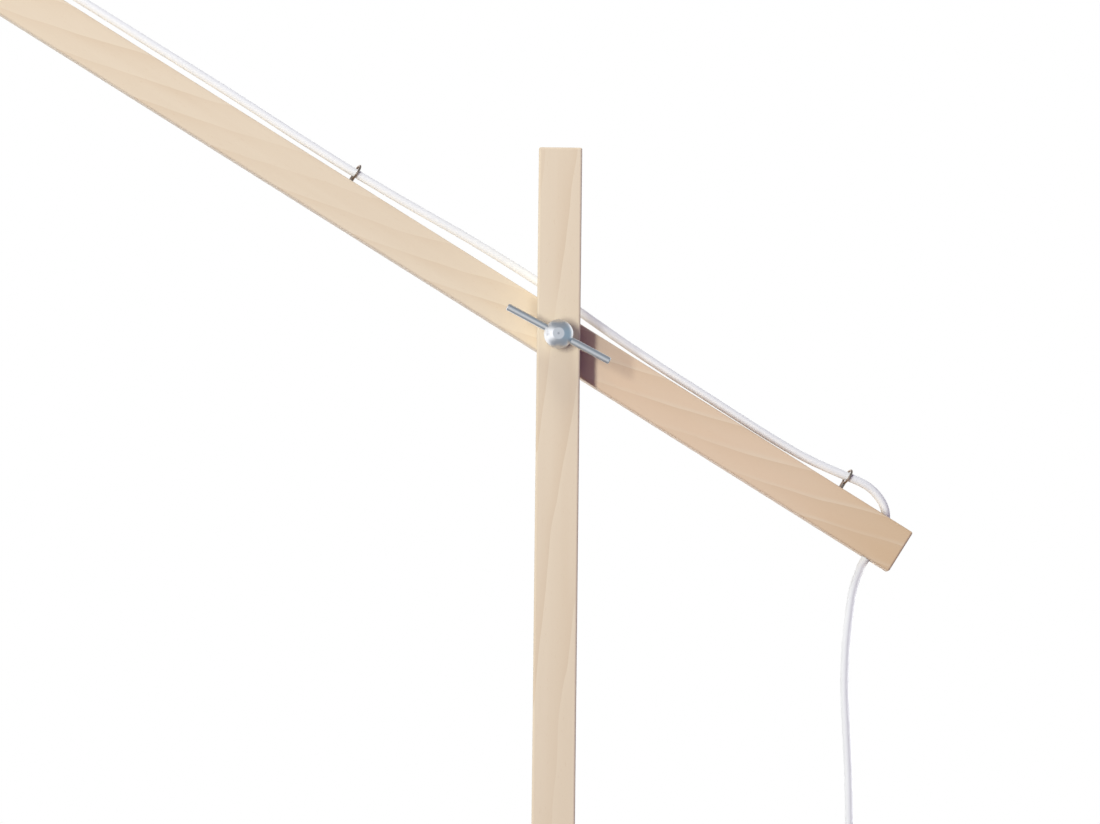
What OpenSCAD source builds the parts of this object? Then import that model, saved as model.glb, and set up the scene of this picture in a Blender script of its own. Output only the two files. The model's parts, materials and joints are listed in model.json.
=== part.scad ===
// Articulated floor lamp: a round base, a square wooden post, and a wooden arm that is
// clamped to the post by a knob with a cross bar. The lead runs along the top of the arm
// through screw eyes, carries a hanging shade at one end and drops to the floor at the other.
// Millimetres, +Z up, origin on the floor under the middle of the post. The arm tilts in the XZ plane.

/* [Base] */
// Diameter of the round base plate
base_d = 300; // [240:5:400]
// Thickness of the base plate
base_t = 10; // [8:1:20]
// Rounding of the top edge of the base plate
base_edge = 2.5; // [1:0.5:4]
// Thickness of the felt pad under the plate
pad_t = 2; // [1:0.5:4]
// Distance of the felt edge inside the plate edge
pad_inset = 4; // [2:1:20]

/* [Post] */
// Width of the post, seen from the front
post_w = 30; // [28:1:50]
// Depth of the post, front to back
post_d = 30; // [28:1:50]
// Length of the post
post_l = 1500; // [1100:10:1800]
// Rounding of all wooden edges
edge_r = 1.5; // [0.5:0.25:4]
// Distance from the top of the post down to the pivot
pivot_drop = 130; // [60:1:250]
// Outer diameter of the threaded insert in the foot of the post
insert_d = 12; // [10:0.5:13]
// Length of the threaded insert
insert_l = 25; // [15:1:50]
// Diameter of the locating pin beside the insert
pin_d = 5; // [4:0.5:6]
// Depth of the locating pin in the post
pin_depth = 16; // [10:1:40]

/* [Arm] */
// Height of the arm
arm_h = 32; // [28:1:50]
// Depth of the arm, front to back
arm_d = 30; // [24:1:50]
// Length of the arm from the pivot to the lamp end
arm_lamp = 644; // [500:1:900]
// Length of the arm from the pivot to the tail end
arm_tail = 281; // [200:1:400]
// Slope of the arm, lamp end up
arm_angle = 31.5; // [0:0.5:60]
// Distance of each lead hole from its end of the arm
hole_inset = 18; // [16:1:40]
// Diameter of the lead holes
hole_d = 9; // [8:0.5:11]
// Depth of the relieved mouth of each lead hole
mouth_depth = 7; // [3:0.5:10]
// Diameter of the relieved mouth of each lead hole
mouth_d = 14.8; // [12:0.2:17]

/* [Clamp] */
// Diameter of the pivot bolt
bolt_d = 8; // [6:0.5:10]
// Diameter of the domed bolt head behind the arm
head_d = 20; // [17:0.5:26]
// Height of the domed bolt head
head_h = 4.6; // [3:0.2:6]
// Length of the square neck under the head
neck_l = 5; // [3:0.5:8]
// Distance between the end of the bolt and the cross bar
tip_gap = 0.8; // [0.4:0.1:2]
// Diameter of the friction disc between the post and the arm
disc_d = 26; // [18:1:27]
// Thickness of the friction disc
disc_t = 1.5; // [1:0.25:4]
// Diameter of the clamp washer
washer_d = 17; // [14:0.5:22]
// Thickness of the clamp washer
washer_t = 1.6; // [1:0.2:3]
// Diameter of the ball knob
knob_d = 20.4; // [20:0.2:26]
// Diameter of the flat on the front of the knob
knob_flat = 8; // [4:0.5:10]
// Diameter of the collar behind the knob
collar_d = 14; // [13:0.5:16]
// Length of the collar behind the knob
collar_l = 2.5; // [1.5:0.5:6]
// Diameter of the cross bar
bar_d = 5; // [4:0.25:5.5]
// Length of the cross bar
bar_l = 80; // [60:1:120]
// Slope of the cross bar
bar_angle = 27.5; // [0:0.5:90]

/* [Screw eyes] */
// Number of screw eyes along the arm
eye_count = 3; // [2:1:5]
// Distance of the outer screw eyes from the ends of the arm
eye_inset = 59; // [50:1:90]
// Wire diameter of the screw eyes
eye_wire = 1.8; // [1.6:0.1:2.4]
// Radius of the ring to the middle of its wire
eye_r = 5.2; // [5:0.1:6]
// Diameter of the screw shank
eye_shank_d = 2.8; // [2.2:0.1:3.2]
// Depth of the screw shank in the arm
eye_depth = 14; // [8:1:20]
// Height of the rings above the arm
eye_gap = 1.2; // [0.6:0.1:3]
// How much higher the tail eye stands than the others
eye_lift = 2; // [0:0.1:4]
// Turn of the rings about their shanks
eye_turn = 15; // [0:1:25]

/* [Lead] */
// Diameter of the lead
cord_d = 6; // [5:0.1:6.4]
// Length of lead from the arm down to the cord grip of the shade
pendant_drop = 150; // [90:1:300]
// Middle radius of the innermost turn of the stored coil
coil_in = 26; // [24:0.5:40]
// Turns of the lower layer of the coil
coil_turns = 3; // [2:1:4]
// Air between neighbouring turns
coil_air = 0.7; // [0.5:0.1:3]
// Thickness of the strap that ties the coil
tie_t = 1.2; // [0.8:0.1:2]
// Width of the strap
tie_w = 9; // [6:1:16]

/* [Shade] */
// Outer radius of the dome
shade_r = 135; // [110:1:180]
// Height of the straight skirt under the dome
shade_skirt = 30; // [15:1:60]
// Wall of the shade
shade_t = 1.2; // [1:0.1:2]
// Diameter of the flat top of the dome
flat_d = 70; // [64:1:90]
// Diameter of the rolled rim
rim_d = 4; // [3:0.2:6]

/* [Lamp holder] */
// Outer diameter of the holder body
holder_d = 40; // [38:0.5:44]
// Wall of the holder body
holder_wall = 2.6; // [2:0.1:3]
// Length of the holder body below the cap
holder_l = 48; // [46:1:60]
// How far the collar of the body stands out inside the cap
collar_lip = 1; // [0.6:0.1:3]
// Height of the cap
cap_h = 32; // [26:1:45]
// Wall of the cap
cap_wall = 2; // [1.6:0.1:3]
// Diameter of the ring under the shade
ring_d = 58; // [54:0.5:62]
// Height of the ring under the shade
ring_h = 9; // [6:0.5:14]
// Height of the cord grip
grip_h = 16; // [12:1:24]
// Diameter of the bulb
bulb_d = 60; // [45:1:70]
// Length of the glass below the holder
bulb_l = 84; // [78:1:110]
// Wall of the bulb glass
glass_t = 0.8; // [0.6:0.1:1.5]

/* [Switch] */
// Length of the switch housing
switch_l = 64; // [60:1:80]
// Width of the switch housing
switch_w = 30; // [28:1:40]
// Height of the switch housing
switch_h = 20; // [19:0.5:26]
// Wall of the switch housing
switch_wall = 2; // [1.6:0.1:2.4]
// Corner radius of the switch housing
switch_r = 8; // [5:0.5:10]
// Width of the rocker
rocker_w = 11; // [8:0.5:12]
// Tilt of the rocker each way
rocker_tilt = 8; // [4:1:9]
// Length of each bend relief
sleeve_l = 22; // [20:1:40]

/* [Plug] */
// Width of the plug body
plug_w = 35; // [33:0.5:40]
// Height of the plug body
plug_h = 13.6; // [12:0.2:16]
// Length of the plug body
plug_l = 30; // [26:1:40]
// Diameter of the plug pins
plug_pin_d = 4; // [3.5:0.1:4.8]
// Length of the plug pins
plug_pin_l = 19; // [15:1:22]
// Distance between the plug pins
plug_pitch = 19; // [17:0.5:20]

/* [Hidden] */
$fn = 48;

// Clearances: a running fit, a fixed seat and the air beside a lead
run_gap = 0.06;
seat_gap = 0.05;
lead_gap = 0.2;

// Heights and depths that follow from the driving sizes
base_top = pad_t + base_t;
pivot_z = base_top + post_l - pivot_drop;
arm_y = post_d / 2 + disc_t + arm_d / 2;
washer_y = -post_d / 2 - washer_t;
knob_r = knob_d / 2;
ball_y = washer_y - collar_l - sqrt(pow(knob_r, 2) - pow(collar_d / 2, 2));
bolt_front = ball_y + bar_d / 2 + tip_gap;
pin_offset = (insert_d + post_d) / 4;
pin_seat = base_t - 2;
sink_d = 2 * bolt_d;

// Places along the arm
tail_hole = arm_tail - hole_inset;
lamp_hole = -(arm_lamp - hole_inset);
tail_eye = arm_tail - eye_inset;
eye_pitch = (arm_lamp + arm_tail - 2 * eye_inset) / (eye_count - 1);
eye_rise = eye_r + eye_wire / 2 + eye_gap;

// A point of the arm in the frame of the lamp: s along the arm towards the tail, z above its middle
function arm_point(s, z) = [
    s * cos(arm_angle) + z * sin(arm_angle),
    arm_y,
    pivot_z - s * sin(arm_angle) + z * cos(arm_angle)
];

// Route of the lead along the arm, as distance along the arm and height above its top face:
// up out of the lamp hole, measured from that hole, along the arm from the pivot, and down the tail hole
lamp_run = [
    [0, -25], [0, -18], [0.6, -9], [3, -1], [8, 5], [15, 8.6], [24, 9.6], [38, 7.8], [59, 6.6], [100, 6.6]
];
middle_run = [
    [-320, 7.2], [-270, 7.1], [-235, 6.5], [-200, 6.3], [-182, 6.5], [-140, 7.6], [-85, 9.8], [-31, 9.8],
    [4, 7.6], [40, 5.7], [74, 4.8], [107, 4.5], [140, 4.1]
];
tail_run = [
    [-98, 4.1], [-76, 4.8], [-58, 6.8], [-39, 9.8], [-31, 11], [-23, 11], [-15, 8.9], [-8, 5], [-3, -1],
    [-0.6, -9], [0, -18], [0, -25]
];
// Route of the lead from the lamp hole down to the shade, from the hole across and down
pendant_route = [
    [-1.6, -2.6], [-3.9, -7.6], [-5, -13], [-5.3, -19], [-5.3, -40], [-5.3, -70], [-5.3, -105]
];
// Route of the lead from the tail hole to the switch on the floor
hang_route = [
    [207, 31.5, 1208], [204.2, 31.5, 1188], [202.4, 31.5, 1167], [201.9, 31.5, 1140], [203.5, 31.5, 1110],
    [205.3, 31.5, 1075], [206.6, 31.5, 1020], [207, 31.5, 950], [206, 31.5, 800], [204.2, 31.5, 650],
    [203, 31.5, 500], [203.4, 31.5, 350], [204.6, 31.5, 200], [205, 31.5, 120], [205, 31.5, 90],
    [205, 33, 60], [205, 39, 34], [205, 51, 15], [205, 65, 6.5], [205, 78, 6.8]
];

// The shade hangs straight below this offset from the lamp hole
pendant_lean = 5.3;
lamp_exit = arm_point(lamp_hole, -arm_h / 2);
pendant_at = [lamp_exit[0] - pendant_lean, arm_y, lamp_exit[2] - pendant_drop];

// Heights of the hanging pieces below the top of the cord grip
nipple_d = 10;
nipple_l = 7;
cap_top = -grip_h;
cap_bottom = cap_top - cap_h;
ring_top = cap_bottom - shade_t;
holder_bottom = cap_bottom - holder_l;
shade_top = sqrt(pow(shade_r, 2) - pow(flat_d / 2, 2));
dome_z = cap_bottom - shade_top;
cap_mouth = holder_d + 2 * collar_lip + 2 * seat_gap;
cap_d = cap_mouth + 2 * cap_wall;
cap_screw_d = 26.4;
sleeve_bore = cap_screw_d + 0.5;
thread_sleeve_t = 0.8;
thread_sleeve_h = 24;
insert_h = 13;
insert_z = cap_bottom - 1;
tongue_t = 0.8;
tip_h = 3;
bulb_cap_top = insert_z - insert_h - tongue_t - tip_h - 0.2;

// Places on the floor behind the base
switch_at = [205, 150];
switch_split = 9;
sleeve_tip = switch_l / 2 + sleeve_l;
coil_pitch = cord_d + coil_air;
coil_out = coil_in + coil_turns * coil_pitch;
lead_in = 45;
coil_at = [switch_at[0] - coil_out, switch_at[1] + sleeve_tip + lead_in];
coil_low = tie_t + 0.2 + cord_d / 2;
coil_high = coil_low + cord_d + 0.6;
coil_down = 360 * coil_turns;
coil_up = 360 * (coil_turns - 0.25);
lead_out = 50;
relief_d = 9.2;
relief_tip_d = cord_d + 1.6;
flange_d = 12;
flange_t = 1.8;
boss_y = switch_l / 2 - 9;
boss_d = 7;
screw_d = 2.6;
rocker_l = 16.8;
opening_l = 18.4;
axle_d = 2.4;
axle_z = switch_h - 3;
cheek_t = 3;
pin_root = 8;
pin_root_d = plug_pin_d + 1;
plug_axis = plug_h / 2 + 0.2;
coil_end = coil_in + (coil_turns - 0.25) * coil_pitch;
plug_at = [coil_at[0] - lead_out, coil_at[1] + coil_end, plug_axis];

// Smooth curve through a list of points, with a number of steps between neighbours
function spline(a, b, c, d, t) = 0.5 * (2 * b + (c - a) * t + (2 * a - 5 * b + 4 * c - d) * t * t
    + (3 * b - a - 3 * c + d) * t * t * t);
function smooth_path(p, steps) = [
    for (i = [0:len(p) - 2]) for (k = [0:steps - 1])
        spline(p[max(i - 1, 0)], p[i], p[i + 1], p[min(i + 2, len(p) - 1)], k / steps),
    p[len(p) - 1]
];
function unit(v) = v / norm(v);
function headings(p) = [for (i = [0:len(p) - 1]) unit(p[min(i + 1, len(p) - 1)] - p[max(i - 1, 0)])];
function path_length(p) = [for (i = [1:len(p) - 1]) norm(p[i] - p[i - 1])] * [for (i = [1:len(p) - 1]) 1];

// Round tube along a list of points, flat at both ends
module tube(path, d, corners) {
    t = headings(path);
    first = unit(cross(t[0], abs(t[0][1]) < 0.9 ? [0, 1, 0] : [1, 0, 0]));
    side = [for (i = 0, s = first; i < len(t); i = i + 1,
        s = i < len(t) ? unit(s - (s * t[i]) * t[i]) : s) s];
    rings = len(path);
    points = [
        for (i = [0:rings - 1]) for (k = [0:corners - 1])
            path[i] + d / 2 * (cos(360 * k / corners) * side[i] + sin(360 * k / corners) * cross(t[i], side[i]))
    ];
    wall = [
        for (i = [0:rings - 2]) for (k = [0:corners - 1]) let (
            a = i * corners + k,
            b = i * corners + (k + 1) % corners
        ) each [[a, a + corners, b], [b, a + corners, b + corners]]
    ];
    last = (rings - 1) * corners;
    ends = [for (k = [1:corners - 2]) each [[0, k, k + 1], [last, last + k + 1, last + k]]];
    polyhedron(points, concat(wall, ends), convexity = 8);
}

// Outline of a rectangle with round corners, about its middle
module round_rect(w, h, r) {
    square([w - 2 * r, h], center = true);
    square([w, h - 2 * r], center = true);
    for (x = [-1, 1], y = [-1, 1])
        translate([x * (w / 2 - r), y * (h / 2 - r)]) circle(r);
}

// Wooden bar with all its edges rounded, l along X, d along Y and h along Z
module wooden_bar(l, d, h) {
    intersection() {
        rotate([90, 0, 90]) linear_extrude(l + 2, center = true) round_rect(d, h, edge_r);
        rotate([90, 0, 0]) linear_extrude(d + 2, center = true) round_rect(l, h, edge_r);
        linear_extrude(h + 2, center = true) round_rect(l, d, edge_r);
    }
}

// Cylinder along Y from one depth to another
module along_y(d, y0, y1) {
    translate([0, y0, 0]) rotate([-90, 0, 0]) cylinder(d = d, h = y1 - y0);
}

// Base: felt pad, steel plate and the bolt, insert and pin that hold the post
module base_pad() {
    color("dimgray") cylinder(d = base_d - 2 * pad_inset, h = pad_t);
}

module base_plate() {
    color("white") translate([0, 0, pad_t]) difference() {
        rotate_extrude($fn = 120) {
            square([base_d / 2 - base_edge, base_t]);
            square([base_d / 2, base_t - base_edge]);
            translate([base_d / 2 - base_edge, base_t - base_edge]) circle(base_edge);
        }
        translate([0, 0, -1]) cylinder(d = bolt_d + 2 * lead_gap, h = base_t + 2);
        translate([0, 0, -1]) cylinder(d = sink_d + 2 * lead_gap, h = 1 + lead_gap);
        translate([0, 0, lead_gap])
            cylinder(d1 = sink_d + 2 * lead_gap, d2 = bolt_d + 2 * lead_gap, h = (sink_d - bolt_d) / 2);
        translate([0, pin_offset, base_t - pin_seat])
            cylinder(d = pin_d + 2 * seat_gap, h = pin_seat + 1);
    }
}

module base_bolt() {
    color("silver") translate([0, 0, pad_t + lead_gap]) difference() {
        union() {
            cylinder(d1 = sink_d, d2 = bolt_d, h = (sink_d - bolt_d) / 2);
            cylinder(d = bolt_d, h = base_t + insert_l - 2);
        }
        translate([0, 0, -1]) cylinder(d = 0.62 * bolt_d, h = 1 + 0.35 * bolt_d, $fn = 6);
    }
}

module locating_pin() {
    color("silver") translate([0, pin_offset, base_top - pin_seat])
        cylinder(d = pin_d, h = pin_seat + pin_depth);
}

module post_insert() {
    color("silver") translate([0, 0, base_top]) difference() {
        cylinder(d = insert_d, h = insert_l);
        translate([0, 0, -1]) cylinder(d = bolt_d + 2 * seat_gap, h = insert_l + 2);
    }
}

module post() {
    color("burlywood") difference() {
        translate([0, 0, base_top + post_l / 2]) rotate([0, 90, 0]) wooden_bar(post_l, post_d, post_w);
        translate([0, 0, pivot_z]) along_y(bolt_d + 2 * run_gap, -post_d, post_d);
        translate([0, 0, base_top - 1]) cylinder(d = insert_d + 2 * seat_gap, h = insert_l + 2);
        translate([0, pin_offset, base_top - 1]) cylinder(d = pin_d + 2 * seat_gap, h = pin_depth + 2);
    }
}

// Arm and what turns with it
module in_arm() {
    translate([0, arm_y, pivot_z]) rotate([0, arm_angle, 0]) children();
}

module at_eyes() {
    for (i = [0:eye_count - 1])
        translate([tail_eye - i * eye_pitch, 0, arm_h / 2]) children();
}

module lead_hole() {
    cylinder(d = hole_d, h = arm_h + 2, center = true);
    translate([0, 0, arm_h / 2 - mouth_depth])
        cylinder(d1 = hole_d, d2 = mouth_d, h = mouth_depth);
    translate([0, 0, arm_h / 2]) cylinder(d = mouth_d, h = 1);
}

module arm() {
    color("burlywood") in_arm() difference() {
        translate([(arm_tail - arm_lamp) / 2, 0, 0]) wooden_bar(arm_lamp + arm_tail, arm_d, arm_h);
        along_y(bolt_d + 2 * seat_gap, -arm_d, arm_d);
        translate([0, arm_d / 2 - neck_l / 2 - seat_gap, 0])
            cube([bolt_d + 2 * seat_gap, neck_l + 2 * seat_gap, bolt_d + 2 * seat_gap], center = true);
        for (s = [tail_hole, lamp_hole]) translate([s, 0, 0]) lead_hole();
        at_eyes() translate([0, 0, -eye_depth - 1])
            cylinder(d = eye_shank_d + 2 * seat_gap, h = eye_depth + 2);
    }
}

module friction_disc() {
    color("sienna") translate([0, 0, pivot_z]) difference() {
        along_y(disc_d, post_d / 2, post_d / 2 + disc_t);
        along_y(bolt_d + 4 * lead_gap, 0, post_d);
    }
}

module pivot_bolt() {
    back = arm_y + arm_d / 2;
    dome_r = (pow(head_d / 2, 2) + pow(head_h, 2)) / (2 * head_h);
    color("silver") translate([0, 0, pivot_z]) {
        along_y(bolt_d, bolt_front, back);
        translate([0, back, 0]) rotate([0, arm_angle, 0]) translate([0, -neck_l / 2 + 0.5, 0])
            cube([bolt_d, neck_l + 1, bolt_d], center = true);
        intersection() {
            translate([0, back + head_h - dome_r, 0]) sphere(dome_r);
            along_y(head_d + 1, back, back + head_h + 1);
        }
    }
}

module screw_eye(rise) {
    rotate([0, 0, eye_turn]) {
        translate([0, 0, -eye_depth]) cylinder(d = eye_shank_d, h = eye_depth + rise - eye_r + eye_wire / 4);
        translate([0, 0, rise]) rotate([0, 0, 90]) rotate([90, 0, 0]) rotate([0, 0, -90])
            rotate_extrude(angle = 338) translate([eye_r, 0]) circle(d = eye_wire);
    }
}

module screw_eyes() {
    color("lightslategray") in_arm() for (i = [0:eye_count - 1])
        translate([tail_eye - i * eye_pitch, 0, arm_h / 2])
            screw_eye(i == 0 ? eye_rise + eye_lift : eye_rise);
}

module arm_cord() {
    route = concat(
        [[lamp_hole, -arm_h]],
        [for (p = lamp_run) [lamp_hole + p[0], p[1]]],
        middle_run,
        [for (p = tail_run) [tail_hole + p[0], p[1]]],
        [[tail_hole, -arm_h]]
    );
    path = smooth_path([for (p = route) arm_point(p[0], arm_h / 2 + p[1])], 2);
    echo("lead length along the arm", path_length(path));
    color("white") tube(path, cord_d, 10);
}

// Clamp: washer, ball knob and cross bar in front of the post
module clamp_washer() {
    color("silver") translate([0, 0, pivot_z]) difference() {
        along_y(washer_d, washer_y, -post_d / 2);
        along_y(bolt_d + 2 * lead_gap, -post_d, post_d);
    }
}

module clamp_knob() {
    flat_y = ball_y - sqrt(pow(knob_r, 2) - pow(knob_flat / 2, 2));
    dimple_d = 1.6;
    color("silver") translate([0, 0, pivot_z]) difference() {
        union() {
            intersection() {
                translate([0, ball_y, 0]) sphere(knob_r);
                along_y(knob_d + 1, flat_y, washer_y);
            }
            along_y(collar_d, ball_y, washer_y);
        }
        along_y(bolt_d + 2 * run_gap, bolt_front - 0.2, washer_y + 1);
        translate([0, ball_y, 0]) rotate([0, bar_angle, 0])
            rotate([0, 90, 0]) cylinder(d = bar_d + 2 * seat_gap, h = knob_d + 2, center = true);
        translate([0, flat_y - 0.01, 0]) rotate([-90, 0, 0]) cylinder(d1 = dimple_d, d2 = 0.2, h = dimple_d / 2);
    }
}

module cross_bar() {
    chamfer = 0.5;
    color("silver") translate([0, ball_y, pivot_z]) rotate([0, 90 + bar_angle, 0]) {
        cylinder(d = bar_d, h = bar_l - 2 * chamfer, center = true);
        for (end = [0, 1]) mirror([0, 0, end]) translate([0, 0, bar_l / 2 - chamfer])
            cylinder(d1 = bar_d, d2 = bar_d - 2 * chamfer, h = chamfer);
    }
}

// Hanging shade with its lamp holder and bulb, measured down from the top of the cord grip
module hanging() {
    translate(pendant_at) children();
}

module pendant_cord() {
    route = concat(
        [for (p = pendant_route) [lamp_exit[0] + p[0], arm_y, lamp_exit[2] + p[1]]],
        [for (z = [10, -grip_h - nipple_l]) pendant_at + [0, 0, z]]
    );
    start = arm_point(lamp_hole, -arm_h / 2 - lead_gap);
    color("white") tube(concat([start], smooth_path(route, 2)), cord_d, 10);
}

module cord_grip() {
    grip_low = nipple_d + 4;
    color("whitesmoke") hanging() difference() {
        union() {
            translate([0, 0, -grip_h]) cylinder(d1 = grip_low, d2 = grip_low - 2, h = grip_h);
            translate([0, 0, -grip_h - nipple_l]) cylinder(d = nipple_d, h = nipple_l + 1);
        }
        translate([0, 0, -grip_h - nipple_l - 1]) cylinder(d = cord_d + 2 * lead_gap, h = grip_h + nipple_l + 2);
        translate([0, 0, -grip_h / 2]) rotate([0, -90, 0]) cylinder(d = 3 + 2 * seat_gap, h = grip_low);
    }
}

module grip_screw() {
    color("whitesmoke") hanging() translate([-cord_d / 2 - lead_gap, 0, -grip_h / 2]) rotate([0, -90, 0])
        difference() {
            cylinder(d = 3, h = 4.5);
            translate([0, 0, 4]) cube([4, 0.6, 1.2], center = true);
        }
}

module holder_cap() {
    shoulder = cap_h - 12;
    inner = cap_mouth / 2;
    color("whitesmoke") hanging() translate([0, 0, cap_bottom]) difference() {
        rotate_extrude() polygon([
            [0, 0], [cap_d / 2, 0], [cap_d / 2, 10], [cap_d / 2 - 3, shoulder], [nipple_d, cap_h], [0, cap_h]
        ]);
        translate([0, 0, -1]) rotate_extrude() polygon([
            [0, 0], [inner, 0], [inner, 11], [inner - 3, shoulder + 1 - cap_wall],
            [nipple_d - 2, cap_h + 1 - cap_wall], [0, cap_h + 1 - cap_wall]
        ]);
        cylinder(d = nipple_d + 2 * seat_gap, h = cap_h + 1);
    }
}

// The body hangs in the cap by a collar that fills the cap's mouth
module holder_body() {
    collar_h = 8;
    color("whitesmoke") hanging() translate([0, 0, holder_bottom]) difference() {
        union() {
            cylinder(d = holder_d, h = holder_l + collar_h);
            translate([0, 0, holder_l]) cylinder(d = holder_d + 2 * collar_lip, h = collar_h);
        }
        translate([0, 0, -1]) cylinder(d = holder_d - 2 * holder_wall, h = holder_l + collar_h + 2);
    }
}

module holder_insert() {
    color("ivory") hanging() translate([0, 0, insert_z - insert_h]) difference() {
        cylinder(d = holder_d - 2 * holder_wall - 2 * seat_gap, h = insert_h);
        for (x = [-1, 1]) translate([x * 9, 0, -1]) cylinder(d = 3.2, h = insert_h + 2);
    }
}

module holder_contact() {
    color("goldenrod") hanging() translate([0, 0, insert_z - insert_h - tongue_t / 2])
        cube([16, 6, tongue_t], center = true);
}

module thread_sleeve() {
    color("goldenrod") hanging() translate([0, 0, insert_z - insert_h - thread_sleeve_h]) difference() {
        cylinder(d = sleeve_bore + 2 * thread_sleeve_t, h = thread_sleeve_h);
        translate([0, 0, -1]) cylinder(d = sleeve_bore, h = thread_sleeve_h + 2);
    }
}

module shade_ring() {
    ribs = 24;
    color("whitesmoke") hanging() translate([0, 0, ring_top - ring_h]) difference() {
        cylinder(d = ring_d, h = ring_h);
        translate([0, 0, -1]) cylinder(d = holder_d + 2 * run_gap, h = ring_h + 2);
        for (k = [0:ribs - 1]) rotate([0, 0, 360 * k / ribs])
            translate([ring_d / 2 + 0.4, 0, -1]) cylinder(d = 3, h = ring_h - 1);
    }
}

module shade() {
    inner = shade_r - shade_t;
    color("white") hanging() translate([0, 0, dome_z]) {
        difference() {
            union() {
                intersection() {
                    sphere(shade_r, $fn = 120);
                    cylinder(r = shade_r + 1, h = shade_top);
                }
                translate([0, 0, -shade_skirt]) cylinder(r = shade_r, h = shade_skirt);
            }
            intersection() {
                sphere(inner, $fn = 120);
                cylinder(r = shade_r, h = shade_top - shade_t);
            }
            translate([0, 0, -shade_skirt - 1]) cylinder(r = inner, h = shade_skirt + 1);
            cylinder(d = holder_d + 2 * lead_gap, h = shade_r);
        }
        translate([0, 0, -shade_skirt]) rotate_extrude($fn = 120)
            translate([shade_r - shade_t / 2, 0]) circle(d = rim_d, $fn = 24);
    }
}

// Bulb: screw cap, its contact and the glass
module bulb_cap() {
    cap_l = bulb_cap_top - holder_bottom + 4;
    color("silver") hanging() translate([0, 0, bulb_cap_top]) difference() {
        rotate_extrude() {
            translate([0, -cap_l]) square([cap_screw_d / 2 - 0.8, cap_l]);
            for (k = [0:5]) translate([cap_screw_d / 2 - 1.4, -4 - 3.6 * k]) circle(d = 2.8, $fn = 24);
        }
        translate([0, 0, -cap_l - 1]) cylinder(d = cap_screw_d - 5, h = cap_l - 2);
    }
}

module bulb_tip() {
    color("dimgray") hanging() translate([0, 0, bulb_cap_top]) cylinder(d1 = 18, d2 = 9, h = tip_h);
}

module bulb_shape(grow) {
    ball_z = holder_bottom - bulb_l + bulb_d / 2;
    neck_z = holder_bottom - 4;
    neck_r = cap_screw_d / 2 - 0.8 + grow;
    reach = neck_z - ball_z;
    rise = atan2(reach, neck_r) - acos((bulb_d / 2 + grow) / norm([reach, neck_r]));
    touch = (bulb_d / 2 + grow) * [cos(rise), sin(rise)];
    translate([0, 0, ball_z]) {
        sphere(bulb_d / 2 + grow, $fn = 96);
        rotate_extrude($fn = 96) polygon([[0, 0], [touch[0], touch[1]], [neck_r, reach], [0, reach]]);
    }
}

module bulb_glass() {
    color("white", 0.6) hanging() difference() {
        bulb_shape(0);
        bulb_shape(-glass_t);
    }
}

// Lead from the tail of the arm to the floor
module hanging_cord() {
    start = arm_point(tail_hole, -arm_h / 2 - lead_gap);
    end = [switch_at[0], switch_at[1] - sleeve_tip, switch_split];
    below = arm_point(tail_hole, -arm_h / 2 - lead_gap - cord_d);
    path = concat([start], smooth_path(concat([below], hang_route, [end - [0, cord_d, 0]]), 3), [end]);
    echo("hanging lead length", path_length(path));
    color("white") tube(path, cord_d, 10);
}

// Switch in the lead: two half shells, a rocker on its pin, terminals, screws and bend reliefs
module at_switch() {
    translate([switch_at[0], switch_at[1], 0]) children();
}

module bend_reliefs() {
    color("white") at_switch() for (end = [0, 1]) mirror([0, end, 0])
        translate([0, 0, switch_split]) {
            along_y(flange_d, switch_l / 2 - switch_wall - flange_t, switch_l / 2 - switch_wall);
            along_y(relief_d, switch_l / 2 - switch_wall - 1, switch_l / 2 + 1);
            translate([0, switch_l / 2, 0]) rotate([-90, 0, 0])
                cylinder(d1 = relief_d, d2 = relief_tip_d, h = sleeve_l);
        }
}

// Half shell of the switch between two heights, hollow on the side of the split
module switch_shell(z0, z1, floor_z, roof_z) {
    difference() {
        translate([0, 0, z0]) linear_extrude(z1 - z0) round_rect(switch_w, switch_l, switch_r);
        translate([0, 0, floor_z]) linear_extrude(roof_z - floor_z)
            round_rect(switch_w - 2 * switch_wall, switch_l - 2 * switch_wall, switch_r - switch_wall);
        translate([0, 0, switch_split])
            along_y(relief_d + 2 * seat_gap, -switch_l, switch_l);
    }
}

module at_bosses(z) {
    for (end = [-1, 1]) translate([0, end * boss_y, z]) children();
}

module switch_base() {
    color("white") at_switch() difference() {
        union() {
            switch_shell(0.2, switch_split, switch_wall + 0.2, switch_split + 1);
            difference() {
                at_bosses(switch_wall) cylinder(d = boss_d, h = switch_split - switch_wall);
                translate([0, 0, switch_split]) along_y(flange_d, -1, 1);
            }
        }
        at_bosses(-1) cylinder(d = screw_d + 2 * seat_gap, h = switch_split + 2);
        at_bosses(-1) cylinder(d = 5.4, h = 2.4);
    }
}

module switch_cover() {
    rocker_gap = 0.4;
    color("white") at_switch() difference() {
        union() {
            switch_shell(switch_split, switch_h, switch_split - 1, switch_h - switch_wall);
            at_bosses(switch_split) cylinder(d = boss_d, h = switch_h - switch_wall - switch_split + 0.5);
            for (side = [-1, 1])
                translate([side * (rocker_w / 2 + rocker_gap + cheek_t / 2), 0, axle_z])
                    cube([cheek_t, 6, 2 * (switch_h - axle_z) - 1], center = true);
        }
        translate([0, 0, switch_h])
            cube([rocker_w + 2 * rocker_gap, opening_l, 4 * switch_wall], center = true);
        translate([0, 0, axle_z]) rotate([0, 90, 0])
            cylinder(d = axle_d + 2 * seat_gap, h = rocker_w + 2 * cheek_t + 2, center = true);
        at_bosses(switch_split - 1) cylinder(d = screw_d + 2 * seat_gap, h = 7);
    }
}

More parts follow.
